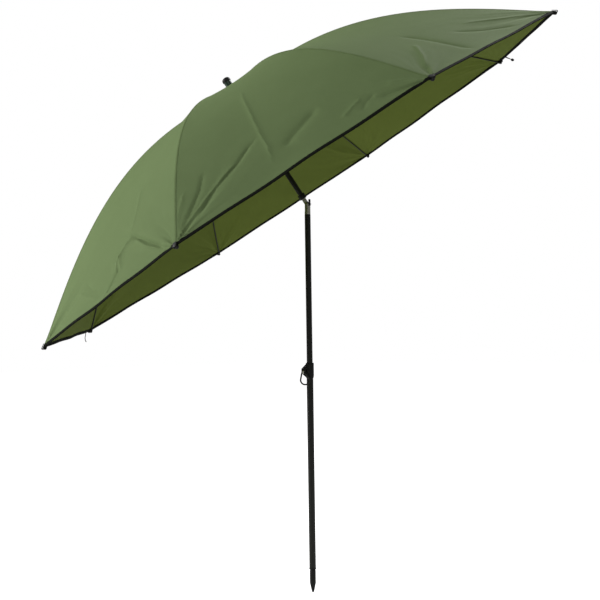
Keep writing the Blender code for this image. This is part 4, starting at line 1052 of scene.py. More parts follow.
@dataclass
class CanopySurface:
    """The cloth's middle surface over all eight gores, in the head's frame."""

    rib_gap: float = 3.6 * MM
    centre_height: float = 496.9 * MM
    settles_at: float = 140 * MM
    sag: float = 12 * MM
    hem: float = 1196 * MM
    cap_rise_length: float = 74 * MM
    above_cap: float = 7.0 * MM
    centre_hole: float = 15.2 * MM
    probe: float = 1 * MM
    least_width: float = 10 * MM
    calm_beside_ribs: float = 24 * MM
    fans: tuple[Fan, ...] = (
        Fan(3.6 * MM, 11, 1, 100 * MM, 30 * MM),
        Fan(3.4 * MM, 6, 2, 300 * MM, 50 * MM),
        Fan(0.55 * MM, 31, 3, 220 * MM, 40 * MM, 2.0),
    )
    pucker_height: float = 0.25 * MM
    pucker_pitch: float = 7 * MM
    pucker_reach: float = 9 * MM
    wave_height: float = 1.3 * MM
    wave_turn: float = 17.0
    wave_reach: float = 70 * MM
    drift_height: float = 0.75 * MM
    drift_pitch: float = 52 * MM
    drift_bend: float = 170 * MM
    swell_height: float = 0.60 * MM
    swell_pitch: float = 61 * MM
    swell_bend: float = 110 * MM
    slack_full_at: float = 800 * MM
    pleat_height: float = 0.7 * MM
    pleats: int = 3
    pleat_reach: float = 90 * MM
    pleat_start: float = 50 * MM
    crease_scale: float = 1.3
    crease_end_share: float = 0.2
    creases: tuple[Crease, ...] = (
        Crease(
            5, ((0.48, 0.543), (0.45, 0.739), (0.43, 0.928), (0.427, 1.022), (0.408, 1.138)),
            2.2 * MM, 6 * MM,
        ),
        Crease(
            5,
            ((0.422, 0.934), (0.352, 0.962), (0.288, 1.008), (0.18, 1.056), (0.115, 1.112), (0.09, 1.154)),
            -4.4 * MM, 9 * MM,
        ),
        Crease(
            5, ((0.307, 0.988), (0.215, 1.03), (0.135, 1.074), (0.058, 1.126), (0.01, 1.17)),
            3.6 * MM, 9 * MM,
        ),
        Crease(5, ((0.01, 1.17), (0.062, 1.102), (0.115, 1.02), (0.145, 0.936)), -2.6 * MM, 8 * MM),
        Crease(5, ((0.008, 1.16), (0.013, 1.07), (0.048, 0.976)), 1.8 * MM, 7 * MM),
        Crease(
            5, ((0.69, 0.985), (0.6, 1.014), (0.53, 1.042), (0.47, 1.08)), -4.2 * MM, 17 * MM, 9 * MM
        ),
        Crease(5, ((0.815, 1.078), (0.76, 1.092), (0.7, 1.116)), 2.2 * MM, 8 * MM),
        Crease(5, ((0.858, 1.096), (0.8, 1.112), (0.77, 1.14)), -1.8 * MM, 7 * MM),
        Crease(5, ((0.985, 1.188), (0.953, 1.13), (0.907, 1.088)), 2.0 * MM, 7 * MM),
        Crease(5, ((0.985, 1.188), (0.91, 1.154), (0.845, 1.124)), -2.0 * MM, 7 * MM),
        Crease(4, ((0.63, 0.97), (0.65, 0.99), (0.79, 1.072), (0.932, 1.168)), -7.0 * MM, 7 * MM),
        Crease(4, ((0.665, 1.004), (0.787, 1.092), (0.91, 1.162)), 4.6 * MM, 6 * MM),
        Crease(4, ((0.65, 0.994), (0.585, 1.022), (0.552, 1.058), (0.562, 1.102)), 4.6 * MM, 9 * MM),
        Crease(4, ((0.57, 1.09), (0.565, 1.108), (0.537, 1.136), (0.512, 1.17)), -6.5 * MM, 8 * MM),
        Crease(4, ((0.547, 1.016), (0.593, 1.098), (0.542, 1.146), (0.468, 1.176)), 3.2 * MM, 9 * MM),
        Crease(4, ((0.198, 1.058), (0.325, 1.112), (0.443, 1.162)), 2.2 * MM, 8 * MM),
        Crease(4, ((0.26, 1.04), (0.36, 1.1), (0.43, 1.12)), -1.8 * MM, 8 * MM),
        Crease(4, ((0.595, 0.737), (0.63, 0.891), (0.628, 0.98)), 1.6 * MM, 10 * MM),
        Crease(6, ((0.3, 0.95), (0.275, 0.982), (0.168, 1.064), (0.05, 1.144)), 4.2 * MM, 8 * MM),
        Crease(
            6, ((0.422, 0.837), (0.417, 0.926), (0.393, 1.022), (0.378, 1.104), (0.37, 1.174)),
            -3.0 * MM, 11 * MM,
        ),
        Crease(6, ((0.56, 0.982), (0.633, 1.07), (0.755, 1.162)), -2.8 * MM, 9 * MM),
        Crease(6, ((0.7, 0.96), (0.85, 1.08), (0.96, 1.16)), 2.2 * MM, 10 * MM),
        Crease(3, ((0.4, 0.6), (0.52, 0.86), (0.72, 1.1)), 2.6 * MM, 12 * MM),
        Crease(3, ((0.22, 0.5), (0.16, 0.76), (0.1, 1.000)), -2.2 * MM, 12 * MM),
        Crease(3, ((0.9, 0.98), (0.96, 1.08), (0.985, 1.16)), 2.4 * MM, 8 * MM),
        Crease(7, ((0.35, 0.6), (0.22, 0.9), (0.06, 1.13)), 2.6 * MM, 12 * MM),
        Crease(7, ((0.7, 0.56), (0.8, 0.85), (0.9, 1.06)), -2.2 * MM, 12 * MM),
        Crease(0, ((0.42, 0.56), (0.3, 0.84), (0.2, 1.06)), 2.6 * MM, 12 * MM),
        Crease(0, ((0.66, 0.7), (0.78, 0.93), (0.92, 1.12)), -2.6 * MM, 10 * MM),
        Crease(1, ((0.36, 0.52), (0.5, 0.8), (0.62, 1.04)), 2.4 * MM, 12 * MM),
        Crease(1, ((0.2, 0.8), (0.14, 0.96), (0.06, 1.12)), -2.4 * MM, 9 * MM),
        Crease(2, ((0.58, 0.5), (0.46, 0.76), (0.36, 1.000)), 2.6 * MM, 12 * MM),
        Crease(2, ((0.76, 0.74), (0.86, 0.94), (0.95, 1.12)), -2.6 * MM, 9 * MM),
    )

    def rib_places(self, along: Array) -> tuple[Array, Array]:
        """Follow the cloth over a rib.

        Args:
            along: Distances from the crown's hinges.

        Returns:
            The radius and the height at each.
        """
        out, up, slope = RIB.places(along)
        settled = np.clip(along / self.settles_at, 0, 1)
        eased = settled * settled * (3 - 2 * settled)
        centre = self.centre_height - HEAD.crown_height
        offset = centre + (self.rib_gap - centre) * eased
        rise = np.clip((along - self.hem + self.cap_rise_length) / self.cap_rise_length, 0, 1)
        offset = offset + (self.above_cap - self.rib_gap) * rise**2
        radius = HEAD.hinge_radius + out + offset * np.sin(slope) * eased
        return radius, HEAD.crown_height + up + offset * (eased * np.cos(slope) + 1 - eased)

    def gore_width(self, along: Array) -> Array:
        """Return how far apart the two ribs of a gore are."""
        return 2 * self.rib_places(along)[0] * math.sin(math.pi / HEAD.rib_count)

    def plain(self, gore: int, share: Array, along: Array) -> Array:
        """Place points on the taut cloth, before its folds.

        Args:
            gore: The gore.
            share: Shares across it.
            along: Distances from the hinges.

        Returns:
            Rows of x, y and z.
        """
        radius, height = self.rib_places(along)
        first, second = HEAD.rib_angle(gore), HEAD.rib_angle(gore + 1)
        x = radius * ((1 - share) * math.cos(first) + share * math.cos(second))
        y = radius * ((1 - share) * math.sin(first) + share * math.sin(second))
        run = np.clip(along / self.hem, 0, 1)
        sag = self.sag * 4 * share * (1 - share) * np.sin(math.pi * run)
        return np.stack([x, y, height - sag], axis=1)

    def normal(self, gore: int, share: Array, along: Array) -> Array:
        """Find the outward direction of the taut cloth.

        Args:
            gore: The gore.
            share: Shares across it.
            along: Distances from the hinges.

        Returns:
            Rows of x, y and z.
        """
        step = self.probe
        across = self.plain(gore, np.clip(share + step, 0, 1), along) - self.plain(
            gore, np.clip(share - step, 0, 1), along
        )
        down = self.plain(gore, share, along + step) - self.plain(gore, share, along - step)
        out = np.cross(down, across)
        return out / np.linalg.norm(out, axis=1, keepdims=True)

    def folds(self, gore: int, share: Array, along: Array) -> Array:
        """Find how far the cloth's folds lift it, which is nothing on the ribs.

        Args:
            gore: The gore.
            share: Shares across it.
            along: Distances from the hinges.

        Returns:
            The lifts.
        """
        width = self.gore_width(along)
        above_hem = np.maximum(self.hem - along, 0)
        off_ribs = np.clip(np.minimum(share, 1 - share) * width / self.calm_beside_ribs, 0, 1)
        total = np.zeros_like(along)
        for side, away in ((0, share * width), (1, (1 - share) * width)):
            reach = np.hypot(away, above_hem)
            angle = np.arctan2(away, above_hem)
            phase = 0.7 * gore + 1.9 * side
            for fan in self.fans:
                wobble = fan.wobble * np.sin(reach / fan.start)
                rays = np.sin(angle * fan.rays + phase * fan.turn + wobble) * np.sin(2 * angle)
                total += fan.height * rays * np.exp(-reach / fan.reach) * np.clip(reach / fan.start, 0, 1)
            pucker = np.sin(along / self.pucker_pitch + gore) * np.exp(-away / self.pucker_reach)
            total += self.pucker_height * pucker
        waves = np.sin(share * self.wave_turn + gore) * np.exp(-above_hem / self.wave_reach)
        total += self.wave_height * waves * np.sin(math.pi * share)
        bend = 2 * np.sin(along / self.drift_bend + gore)
        drift = self.drift_height * np.sin(share * width / self.drift_pitch + 1.3 * gore + bend)
        bend = 1.6 * np.sin(share * width / self.swell_bend)
        swell = self.swell_height * np.sin(along / self.swell_pitch - 2.1 * gore + bend)
        slack = np.clip(along / self.slack_full_at, 0, 1) ** 2 * np.sin(math.pi * share)
        total += (drift + swell) * slack
        rays = np.sin(share * self.pleats * 2 * math.pi + gore) * np.clip(along / self.pleat_start, 0, 1)
        total += self.pleat_height * rays * np.exp(-np.maximum(along, 0) / self.pleat_reach)
        for crease in self.creases:
            if crease.gore == gore:
                total += self.crease_height(crease, share, along, width)
        return total * off_ribs

    def crease_height(self, crease: Crease, share: Array, along: Array, width: Array) -> Array:
        """Find one crease's lift, which is sharpest on its line and fades to its ends.

        Args:
            crease: The crease.
            share: Shares across the gore.
            along: Distances from the crown.
            width: The gore's widths there.

        Returns:
            The lifts.
        """
        spots = np.array(crease.path)
        spots[:, 0] *= self.gore_width(spots[:, 1])
        here = np.stack([share * width, along], axis=1)
        steps = np.linalg.norm(np.diff(spots, axis=0), axis=1)
        nearest = np.full(len(along), np.inf)
        run = np.zeros(len(along))
        before = 0.0
        for start, end, length in zip(spots, spots[1:], steps):
            unit = (end - start) / length
            at = np.clip((here - start) @ unit, 0, length)
            away = np.linalg.norm(here - start - at[:, None] * unit, axis=1)
            closer = away < nearest
            nearest = np.where(closer, away, nearest)
            run = np.where(closer, (before + at) / steps.sum(), run)
            before += length
        ends = np.clip(run / self.crease_end_share, 0, 1) * np.clip((1 - run) / self.crease_end_share, 0, 1)
        ends = ends * ends * (3 - 2 * ends)
        near = np.sqrt(nearest**2 + crease.edge**2) - crease.edge
        return self.crease_scale * crease.depth * np.exp(-near / crease.width) * ends

    def places(self, gore: int, share: Array, along: Array, lift: float = 0.0) -> Array:
        """Return places on the folded cloth, lifted off it by a distance."""
        height = self.folds(gore, share, along) + lift
        return self.plain(gore, share, along) + self.normal(gore, share, along) * height[:, None]

    def shading(self, gore: int, share: Array, along: Array) -> Array:
        """Find the outward direction of the folded cloth.

        Args:
            gore: The gore.
            share: Shares across it.
            along: Distances from the hinges.

        Returns:
            Rows of x, y and z.
        """
        step = self.probe
        aside = step / np.maximum(self.gore_width(along), self.least_width)
        across = self.places(gore, share + aside, along) - self.places(gore, share - aside, along)
        down = self.places(gore, share, along + step) - self.places(gore, share, along - step)
        out = np.cross(down, across)
        return out / np.linalg.norm(out, axis=1, keepdims=True)


@dataclass
class Canopy:
    """The sewn cover: eight panels centred on the ribs, their seams and the black hem tape."""

    cloth: float = 0.6 * MM
    cells_across: int = 132
    cells_along: int = 210
    flap_cells: int = 5
    flap_least: float = 2 * MM
    crown_flap_share: float = 0.28
    crown_flap_ends: float = 750 * MM
    least_half_width: float = 1 * MM
    seam_start: float = 14 * MM
    seam_width: float = 9 * MM
    seam_height: float = 0.5 * MM
    seam_ends_before_hem: float = 9 * MM
    tape_width: float = 14 * MM
    tape_thickness: float = 2.2 * MM
    tape_overhang: float = 0.7 * MM
    tape_map_share: float = 0.2
    fold_keep: float = 0.86

    def __post_init__(self) -> None:
        """Take the cloth's surface."""
        self.surface = CanopySurface()

    def build(self) -> None:
        """Build and dress every panel with its seam and hem."""
        for number in range(HEAD.rib_count):
            panel = self.build_panel(number)
            hem = self.build_hem(number)
            seam = self.build_seam(number)
            for piece in (panel, hem, seam):
                self.carry(piece, number)
            self.declare(number)
            LOG.info("canopy panel %d with its seam and hem", number + 1)

    def wedge(self, number: int, side: Array, along: Array, lift: float = 0.0) -> Array:
        """Return world places in the two half gores beside a rib.

        Args:
            number: The rib.
            side: The distance from the rib as a share of the half gore, from -1 to 1 or a little past.
            along: The distance from the crown's hinges.
            lift: How far the piece lies off the cloth.

        Returns:
            Rows of x, y and z.
        """
        after = self.surface.places(number, np.abs(side) / 2, along, lift)
        before = self.surface.places(
            (number - 1) % HEAD.rib_count, 1 - np.abs(side) / 2, along, lift
        )
        places = np.where((side >= 0)[:, None], after, before)
        return HEAD.to_world(places)

    def facing(self, number: int, side: Array, along: Array) -> Array:
        """Find the cloth's outward direction beside a rib, in the world.

        Args:
            number: The rib.
            side: The distances from the rib, as in wedge.
            along: The distances from the crown's hinges.

        Returns:
            Rows of x, y and z.
        """
        after = self.surface.shading(number, np.abs(side) / 2, along)
        before = self.surface.shading((number - 1) % HEAD.rib_count, 1 - np.abs(side) / 2, along)
        weight = (np.sign(np.rint(side * self.cells_across)) + 1)[:, None] / 2
        out = after * weight + before * (1 - weight)
        out /= np.linalg.norm(out, axis=1, keepdims=True)
        return out @ np.array(HEAD.matrix)[:3, :3].T

    def half_width(self, along: Array) -> Array:
        """Return the width of half a gore."""
        return np.maximum(self.surface.gore_width(along) / 2, self.least_half_width)

    def flat_chart(self, side: Array, along: Array) -> Array:
        """Return a panel's map in metres, from the rib and from the crown's hinges."""
        return np.stack([side * self.half_width(along), along], axis=1)

    def flap_stretch(self, along: Array) -> Array:
        """Widen the flap past its cells, as the panels part most near the crown.

        Args:
            along: Distances from the crown's hinges.

        Returns:
            The factor at each.
        """
        share = 2 * self.flap_cells / self.cells_across
        at_crown = self.crown_flap_share * (1 - along / self.crown_flap_ends)
        least = self.flap_least / self.half_width(along)
        return np.maximum(np.maximum(at_crown, least) / share, 1)

    def build_panel(self, number: int) -> Piece:
        """Lay one panel, with a thin flap that slides inside its neighbour as the ribs fold.

        Args:
            number: The rib.

        Returns:
            The panel.
        """
        surface = self.surface
        start = surface.centre_hole - HEAD.hinge_radius
        columns = self.cells_across + self.flap_cells

        def places(share: Array, down: Array) -> tuple[Array, Array]:
            """Turn shares of the grid into places; the last columns make the flap.

            Args:
                share: Shares across.
                down: Shares along.

            Returns:
                The side places and the distances from the hinges.
            """
            along = start + (surface.hem - start) * down
            side = np.rint(share * columns) / self.cells_across * 2 - 1
            return np.where(side > 1, 1 + (side - 1) * self.flap_stretch(along), side), along

        panel = lay_sheet(
            f"canopy_panel_{number + 1}", columns, self.cells_along,
            shape=lambda share, down: self.wedge(number, *places(share, down)),
            chart=lambda share, down: self.flat_chart(*places(share, down)),
            thickness=self.cloth,
            normals=lambda share, down: self.facing(number, *places(share, down)),
            thin=lambda share, down: places(share, down)[0] > 1 + 0.5 / self.cells_across,
        )
        SHOP.dress(panel, CLOTH_INSIDE, CLOTH_OUTSIDE)
        return panel

    def build_hem(self, number: int) -> Piece:
        """Fold the black tape over the panel's hem.

        Args:
            number: The rib.

        Returns:
            The tape.
        """
        surface = self.surface

        def along_at(down: Array) -> Array:
            """Return the distance from the crown across the tape."""
            low = surface.hem + self.tape_overhang
            return low - self.tape_width * (1 - down)

        def shape(share: Array, down: Array) -> Array:
            """Return the tape's places."""
            return self.wedge(number, share * 2 - 1, along_at(down))

        def chart(share: Array, down: Array) -> Array:
            """Return the tape's map in metres, across the tape first."""
            run = (share * 2 - 1) * self.half_width(along_at(down))
            return np.stack([(down - self.tape_map_share) * self.tape_width, run], axis=1)

        hem = lay_sheet(
            f"hem_tape_{number + 1}", self.cells_across, 4, shape, chart, self.tape_thickness
        )
        SHOP.dress(hem, HEM_TAPE, HEM_TAPE)
        return hem

    def build_seam(self, number: int) -> Piece:
        """Lay the felled seam over the rib, on the outside of the cloth.

        Args:
            number: The rib.

        Returns:
            The seam.
        """
        surface = self.surface
        start = self.seam_start
        end = surface.hem - self.seam_ends_before_hem

        def aside(share: Array) -> Array:
            """Return the distance from the rib."""
            return (share - 0.5) * self.seam_width

        def shape(share: Array, down: Array) -> Array:
            """Place the seam.

            Args:
                share: Shares across.
                down: Shares along.

            Returns:
                Rows of x, y and z.
            """
            along = start + (end - start) * down
            side = aside(share) / self.half_width(along)
            return self.wedge(number, side, along, (self.cloth + self.seam_height) / 2)

        def chart(share: Array, down: Array) -> Array:
            """Return the seam's map in metres."""
            return np.stack([aside(share), start + (end - start) * down], axis=1)

        seam = lay_sheet(f"rib_seam_{number + 1}", 6, self.cells_along, shape, chart, self.seam_height)
        SHOP.dress(seam, SEAM_CLOTH, SEAM_CLOTH)
        return seam

    def carry(self, piece: Piece, number: int) -> None:
        """Ride a piece on its rib, with a mesh of its own.

        Args:
            piece: The piece.
            number: The rib.
        """
        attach(piece, f"rib_{number + 1}")
        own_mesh(piece)

    def declare(self, number: int) -> None:
        """Hide the CAD solid that a panel stands for.

        Args:
            number: The rib.
        """
        along = np.linspace(0, self.surface.hem, 200)
        width = self.surface.gore_width(along)
        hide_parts(f"canopy_{number + 1}")


@dataclass
class HemCords:
    """The short tie at the low side and the pull loop with its toggle at the high side."""

    cloth_solid: float = 1.6 * MM
    gap: float = 0.3 * MM
    tie_radius: float = 1.5 * MM
    tie_from_corner: float = 95 * MM
    tie_seam: float = 6 * MM
    tie_points: int = 24
    tie_rib: int = 3
    loop_radius: float = 1.25 * MM
    loop_reach: float = 20 * MM
    loop_half_width: float = 3.6 * MM
    loop_from_corner: float = 85 * MM
    loop_seat: float = 0.7 * MM
    loop_drop: float = 22 * DEGREE
    loop_points: int = 33
    loop_rib: int = 0
    toggle_radius: float = 5.5 * MM
    toggle_length: float = 15 * MM
    tie_route: tuple[tuple[float, float, float], ...] = (
        (-0.8, 0.0, -8.0),
        (-3.0, 0.4, -18.0),
        (-2.4, 1.0, -28.0),
        (1.0, 1.6, -37.0),
    )

    def __post_init__(self) -> None:
        """Take the cloth's surface."""
        self.surface = CanopySurface()

    def hem_place(self, rib: int, toward: int, from_corner: float, above: float) -> Vector:
        """Return a world place on the taut cloth near the hem.

        Args:
            rib: The rib at the corner, numbered from 0.
            toward: 1 towards the next rib, -1 towards the one before.
            from_corner: The distance from the corner along the hem.
            above: The distance above the hem.

        Returns:
            The place.
        """
        radius, height = (
            float(value[0]) for value in self.surface.rib_places(np.array([self.surface.hem - above]))
        )
        ends = []
        for number in (rib, rib + toward):
            angle = HEAD.rib_angle(number)
            ends.append(Vector((radius * math.cos(angle), radius * math.sin(angle), height)))
        step = (ends[1] - ends[0]).normalized()
        return HEAD.matrix @ (ends[0] + step * from_corner)

    def build(self) -> None:
        """Build both cords and the toggle."""
        self.build_tie()
        self.build_loop()

    def build_tie(self) -> None:
        """Hang the short tie from the inside of the hem."""
        seam = self.hem_place(self.tie_rib, 1, self.tie_from_corner, self.tie_seam)
        edge = self.hem_place(self.tie_rib, 1, self.tie_from_corner, 0)
        down = (edge - seam).normalized()
        inside = Vector((-down.z, 0, down.x)) * (self.cloth_solid / 2 + self.gap + self.tie_radius)
        stops = [seam + inside, edge + inside]
        stops += [edge + inside + Vector(step) * MM for step in self.tie_route]
        route = smooth_route(stops, self.tie_points)
        tie = wire("hem_tie", route, self.tie_radius)
        SHOP.dress(tie, GREY_CORD)
        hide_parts("tie_cord")
        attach(tie, f"rib_{self.tie_rib + 1}")
        LOG.info("hem tie")

    def build_loop(self) -> None:
        """Stand the elastic loop out from the hem, with its toggle on its end."""
        hem = self.hem_place(self.loop_rib, -1, self.loop_from_corner, 0)
        outward = Vector((math.cos(self.loop_drop), 0, -math.sin(self.loop_drop)))
        root = hem + outward * self.loop_seat
        route = []
        for n in range(self.loop_points):
            turn = math.pi * n / (self.loop_points - 1)
            reach = outward * self.loop_reach * math.sqrt(max(math.sin(turn), 0))
            route.append(root + reach + Vector((0, self.loop_half_width * math.cos(turn), 0)))
        loop = wire("elastic_loop", route, self.loop_radius)
        SHOP.dress(loop, BLACK_CORD)
        toggle = self.build_toggle(root, outward)
        for piece in (loop, toggle):
            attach(piece, f"rib_{self.loop_rib + 1}")
        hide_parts("pull_loop")
        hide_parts("loop_toggle")
        LOG.info("elastic loop and toggle")

    def build_toggle(self, root: Vector, outward: Vector) -> Piece:
        """Turn the egg-shaped toggle, with a waist behind its neck.

        Args:
            root: The loop's root.
            outward: The direction of the loop.

        Returns:
            The toggle.
        """
        half = self.toggle_length / 2
        rings = []
        for n in range(17):
            turn = math.pi * n / 16
            radius = self.toggle_radius * math.sin(turn)
            waist = 1 - 0.28 * math.exp(-((n - 12) ** 2) / 2)
            rings.append((radius * waist, half + half * math.cos(turn)))
        toggle = turned("loop_bead", rings, sides=32)
        place = root + outward * (self.loop_reach + self.loop_radius + self.gap)
        turn = outward.to_track_quat("Z", "Y").to_matrix().to_4x4()
        settle(toggle, Matrix.Translation(place) @ turn)
        SHOP.dress(toggle, BLACK_PLASTIC)
        return toggle


def smooth_route(stops: Sequence[Vector], count: int) -> list[Vector]:
    """Return evenly numbered places on a smooth curve through the stops.

    Args:
        stops: The places that the curve goes through.
        count: How many places to return.

    Returns:
        The places.
    """
    places = []
    for n in range(count):
        at = n / (count - 1) * (len(stops) - 1)
        k = min(int(at), len(stops) - 2)
        t = at - k
        before, after = stops[max(k - 1, 0)], stops[min(k + 2, len(stops) - 1)]
        start, end = stops[k], stops[k + 1]
        lead_in, lead_out = (end - before) / 2, (after - start) / 2
        places.append(
            start * (2 * t**3 - 3 * t**2 + 1) + lead_in * (t**3 - 2 * t**2 + t)
            + end * (3 * t**2 - 2 * t**3) + lead_out * (t**3 - t**2)
        )
    return places


def fit(piece: Piece, finish: Finish, body: str, node: str) -> None:
    """Dress a piece, let it ride on its body and stand for its CAD node.

    Args:
        piece: The piece.
        finish: Its finish.
        body: The body that it rides on.
        node: The CAD node that it stands for.
    """
    SHOP.dress(piece, finish)
    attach(piece, body)
    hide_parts(node)
    LOG.info("%s", piece.name)


def tube(name: str, radius: float, wall: float, low: float, high: float) -> Piece:
    """Turn a tube with broken edges about Z.

    Args:
        name: The piece's name.
        radius: The outer radius.
        wall: The wall.
        low: The foot's height.
        high: The top's height.

    Returns:
        The tube.
    """
    bore, edge = radius - wall, TUBE_EDGE
    rings = [
        (bore, high), (radius - edge, high), (radius, high - edge),
        (radius, low + edge), (radius - edge, low), (bore, low),
    ]
    return turned(name, rings, closed=True)


@dataclass
class LowerPole:
    """The outer pole with its ground spike below and its split clamp on top."""

    wall: float = 1.2 * MM
    slit_length: float = 60 * MM
    slit_width: float = 2.4 * MM
    spike_tip: float = 4 * MM
    spike_radius: float = 11.5 * MM
    spike_cone: float = 34 * MM
    spike_shoulder: float = 4 * MM
    spike_neck: float = 1.2 * MM
    spike_neck_length: float = 3.5 * MM
    spike_neck_slope: float = 1.5 * MM
    spike_rounding: float = 1 * MM
    spike_edge: float = 0.6 * MM
    spigot_chamfer: float = 2 * MM
    fit_gap: float = 0.3 * MM
    clamp_bore: float = 12.8 * MM
    clamp_lip: float = 4.3 * MM
    clamp_lip_bore: float = 11.3 * MM
    clamp_edge: float = 1.6 * MM
    clamp_taper: float = 8 * MM
    ear_reach: float = 26 * MM
    ear_radius: float = 5.5 * MM
    ear_screw: float = 28 * MM
    ear_above: float = 8 * MM
    ear_below: float = 3.4 * MM
    ear_root: float = 50 * MM
    ear_shoulder: float = 4 * MM
    ear_width: float = 14 * MM
    ear_edge: float = 1.2 * MM
    screw_hole: float = 3.3 * MM
    ring_wire: float = 2.9 * MM
    ring_top: float = 5 * MM
    ring_bottom: float = 17 * MM
    ring_shift: float = 7.5 * MM
    ring_drop: float = 29.3 * MM
    overrun: float = 3 * MM

    def __post_init__(self) -> None:
        """Take the pole's ends and radius from the frame."""
        low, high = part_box("outer_pole")
        self.foot, self.top, self.radius = low.z, high.z, high.x

    def build(self) -> None:
        """Build and dress the pieces."""
        self.build_pole()
        self.build_spike()
        self.build_clamp()
        self.build_ring()

    def build_pole(self) -> None:
        """Turn the tube and slit its top for the clamp."""
        pole = tube("outer_tube", self.radius, self.wall, self.foot, self.top)
        reach = self.radius + self.overrun
        slit = box(
            "outer_tube_slit",
            (-reach, -self.slit_width / 2, self.top - self.slit_length),
            (0, self.slit_width / 2, self.top + self.overrun),
        )
        boolean(pole, slit, "DIFFERENCE")
        smooth(pole)
        fit(pole, BLACK_PAINT, "lower_pole", "outer_pole")

    def build_spike(self) -> None:
        """Turn the spike: blunt tip, cone, neck, shoulder and the spigot inside the pole."""
        low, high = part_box("ground_spike")
        shoulder = self.foot - self.fit_gap
        spigot = self.radius - self.wall - self.fit_gap
        tip, radius, cone = self.spike_tip, self.spike_radius, self.spike_cone
        rounding, edge, chamfer = self.spike_rounding, self.spike_edge, self.spigot_chamfer
        waist, seat = radius - self.spike_neck, shoulder - self.spike_shoulder
        neck = seat - self.spike_neck_length
        rings = [
            (0, 0), (tip * 0.55, 0), (tip * 0.9, tip * 0.25), (tip * 1.12, tip * 0.65),
            (radius - rounding, cone - 3 * rounding), (radius - 0.2 * rounding, cone),
            (radius, cone + 2 * rounding), (radius, neck - self.spike_neck_slope), (waist, neck),
            (waist, seat), (high.x - edge, seat), (high.x, seat + edge),
            (high.x, shoulder - edge), (high.x - edge, shoulder),
            (spigot, shoulder), (spigot, high.z - chamfer), (spigot - chamfer, high.z), (0, high.z),
        ]
        fit(turned("spike", rings), BLACK_PLASTIC, "lower_pole", "ground_spike")

    def build_clamp(self) -> None:
        """Turn the collar, join its ears on and split it."""
        low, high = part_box("clamp_collar")
        radius, edge = high.x, self.clamp_edge
        collar = turned(
            "clamp_body",
            [
                (self.clamp_lip_bore, high.z), (radius - edge, high.z),
                (radius - edge * 0.3, high.z - edge * 0.3), (radius, high.z - edge),
                (radius, low.z + self.clamp_taper), (radius - edge, low.z),
                (self.clamp_bore, low.z), (self.clamp_bore, high.z - self.clamp_lip),
                (self.clamp_lip_bore, high.z - self.clamp_lip),
            ],
            closed=True,
        )
        root = (radius + self.clamp_bore) / 2
        screw = self.top - self.ear_screw
        upper = (-self.ear_reach, screw + self.ear_above)
        lower = (-self.ear_reach, screw - self.ear_below)
        root_foot = self.top - self.ear_root
        slant = math.atan2(lower[1] - root_foot, lower[0] + root)
        root_head = high.z - self.ear_shoulder
        rise = math.atan2(root_head - upper[1] - self.ear_radius, self.ear_reach - root)
        outline = [(-root, root_head)]
        outline += arc_points(upper, self.ear_radius, math.pi / 2 + rise, math.pi, 8)
        outline += arc_points(lower, self.ear_radius, math.pi, slant + math.pi / 2, 8)
        outline += [(-root, root_foot)]
        boolean(collar, plate("clamp_ear", outline, self.ear_width, self.ear_edge), "UNION")
        reach = self.ear_reach + self.ear_radius + self.overrun
        slit = box(
            "clamp_gap",
            (-reach, -self.slit_width / 2, low.z - self.overrun),
            (0, self.slit_width / 2, high.z + self.overrun),
        )
        hole = rod(
            "clamp_hole", self.screw_hole,
            (-self.ear_reach, -self.ear_width, screw), (-self.ear_reach, self.ear_width, screw),
        )
        boolean(collar, slit, "DIFFERENCE")
        boolean(collar, hole, "DIFFERENCE")
        smooth(collar)
        fit(collar, BLACK_PLASTIC, "lower_pole", "clamp_collar")

    def build_ring(self) -> None:
        """Bend the teardrop ring that hangs in the screw's eye."""
        low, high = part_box("clamp_ring")
        top = high.z - self.ring_wire
        small = (-self.ear_reach, top - self.ring_top)
        large = (-self.ear_reach + self.ring_shift, top - self.ring_drop)
        between = Vector(small) - Vector(large)
        lean = math.atan2(between.y, between.x)
        spread = math.acos((self.ring_bottom - self.ring_top) / between.length)
        outline = arc_points(large, self.ring_bottom, lean + spread, lean + 2 * math.pi - spread, 48)
        outline += arc_points(small, self.ring_top, lean - spread, lean + spread, 24)
        plane = (low.y + high.y) / 2
        ring = wire("screw_ring", [(x, plane, z) for x, z in outline], self.ring_wire, cyclic=True)
        fit(ring, BLACK_PAINT, "clamp_ring", "clamp_ring")


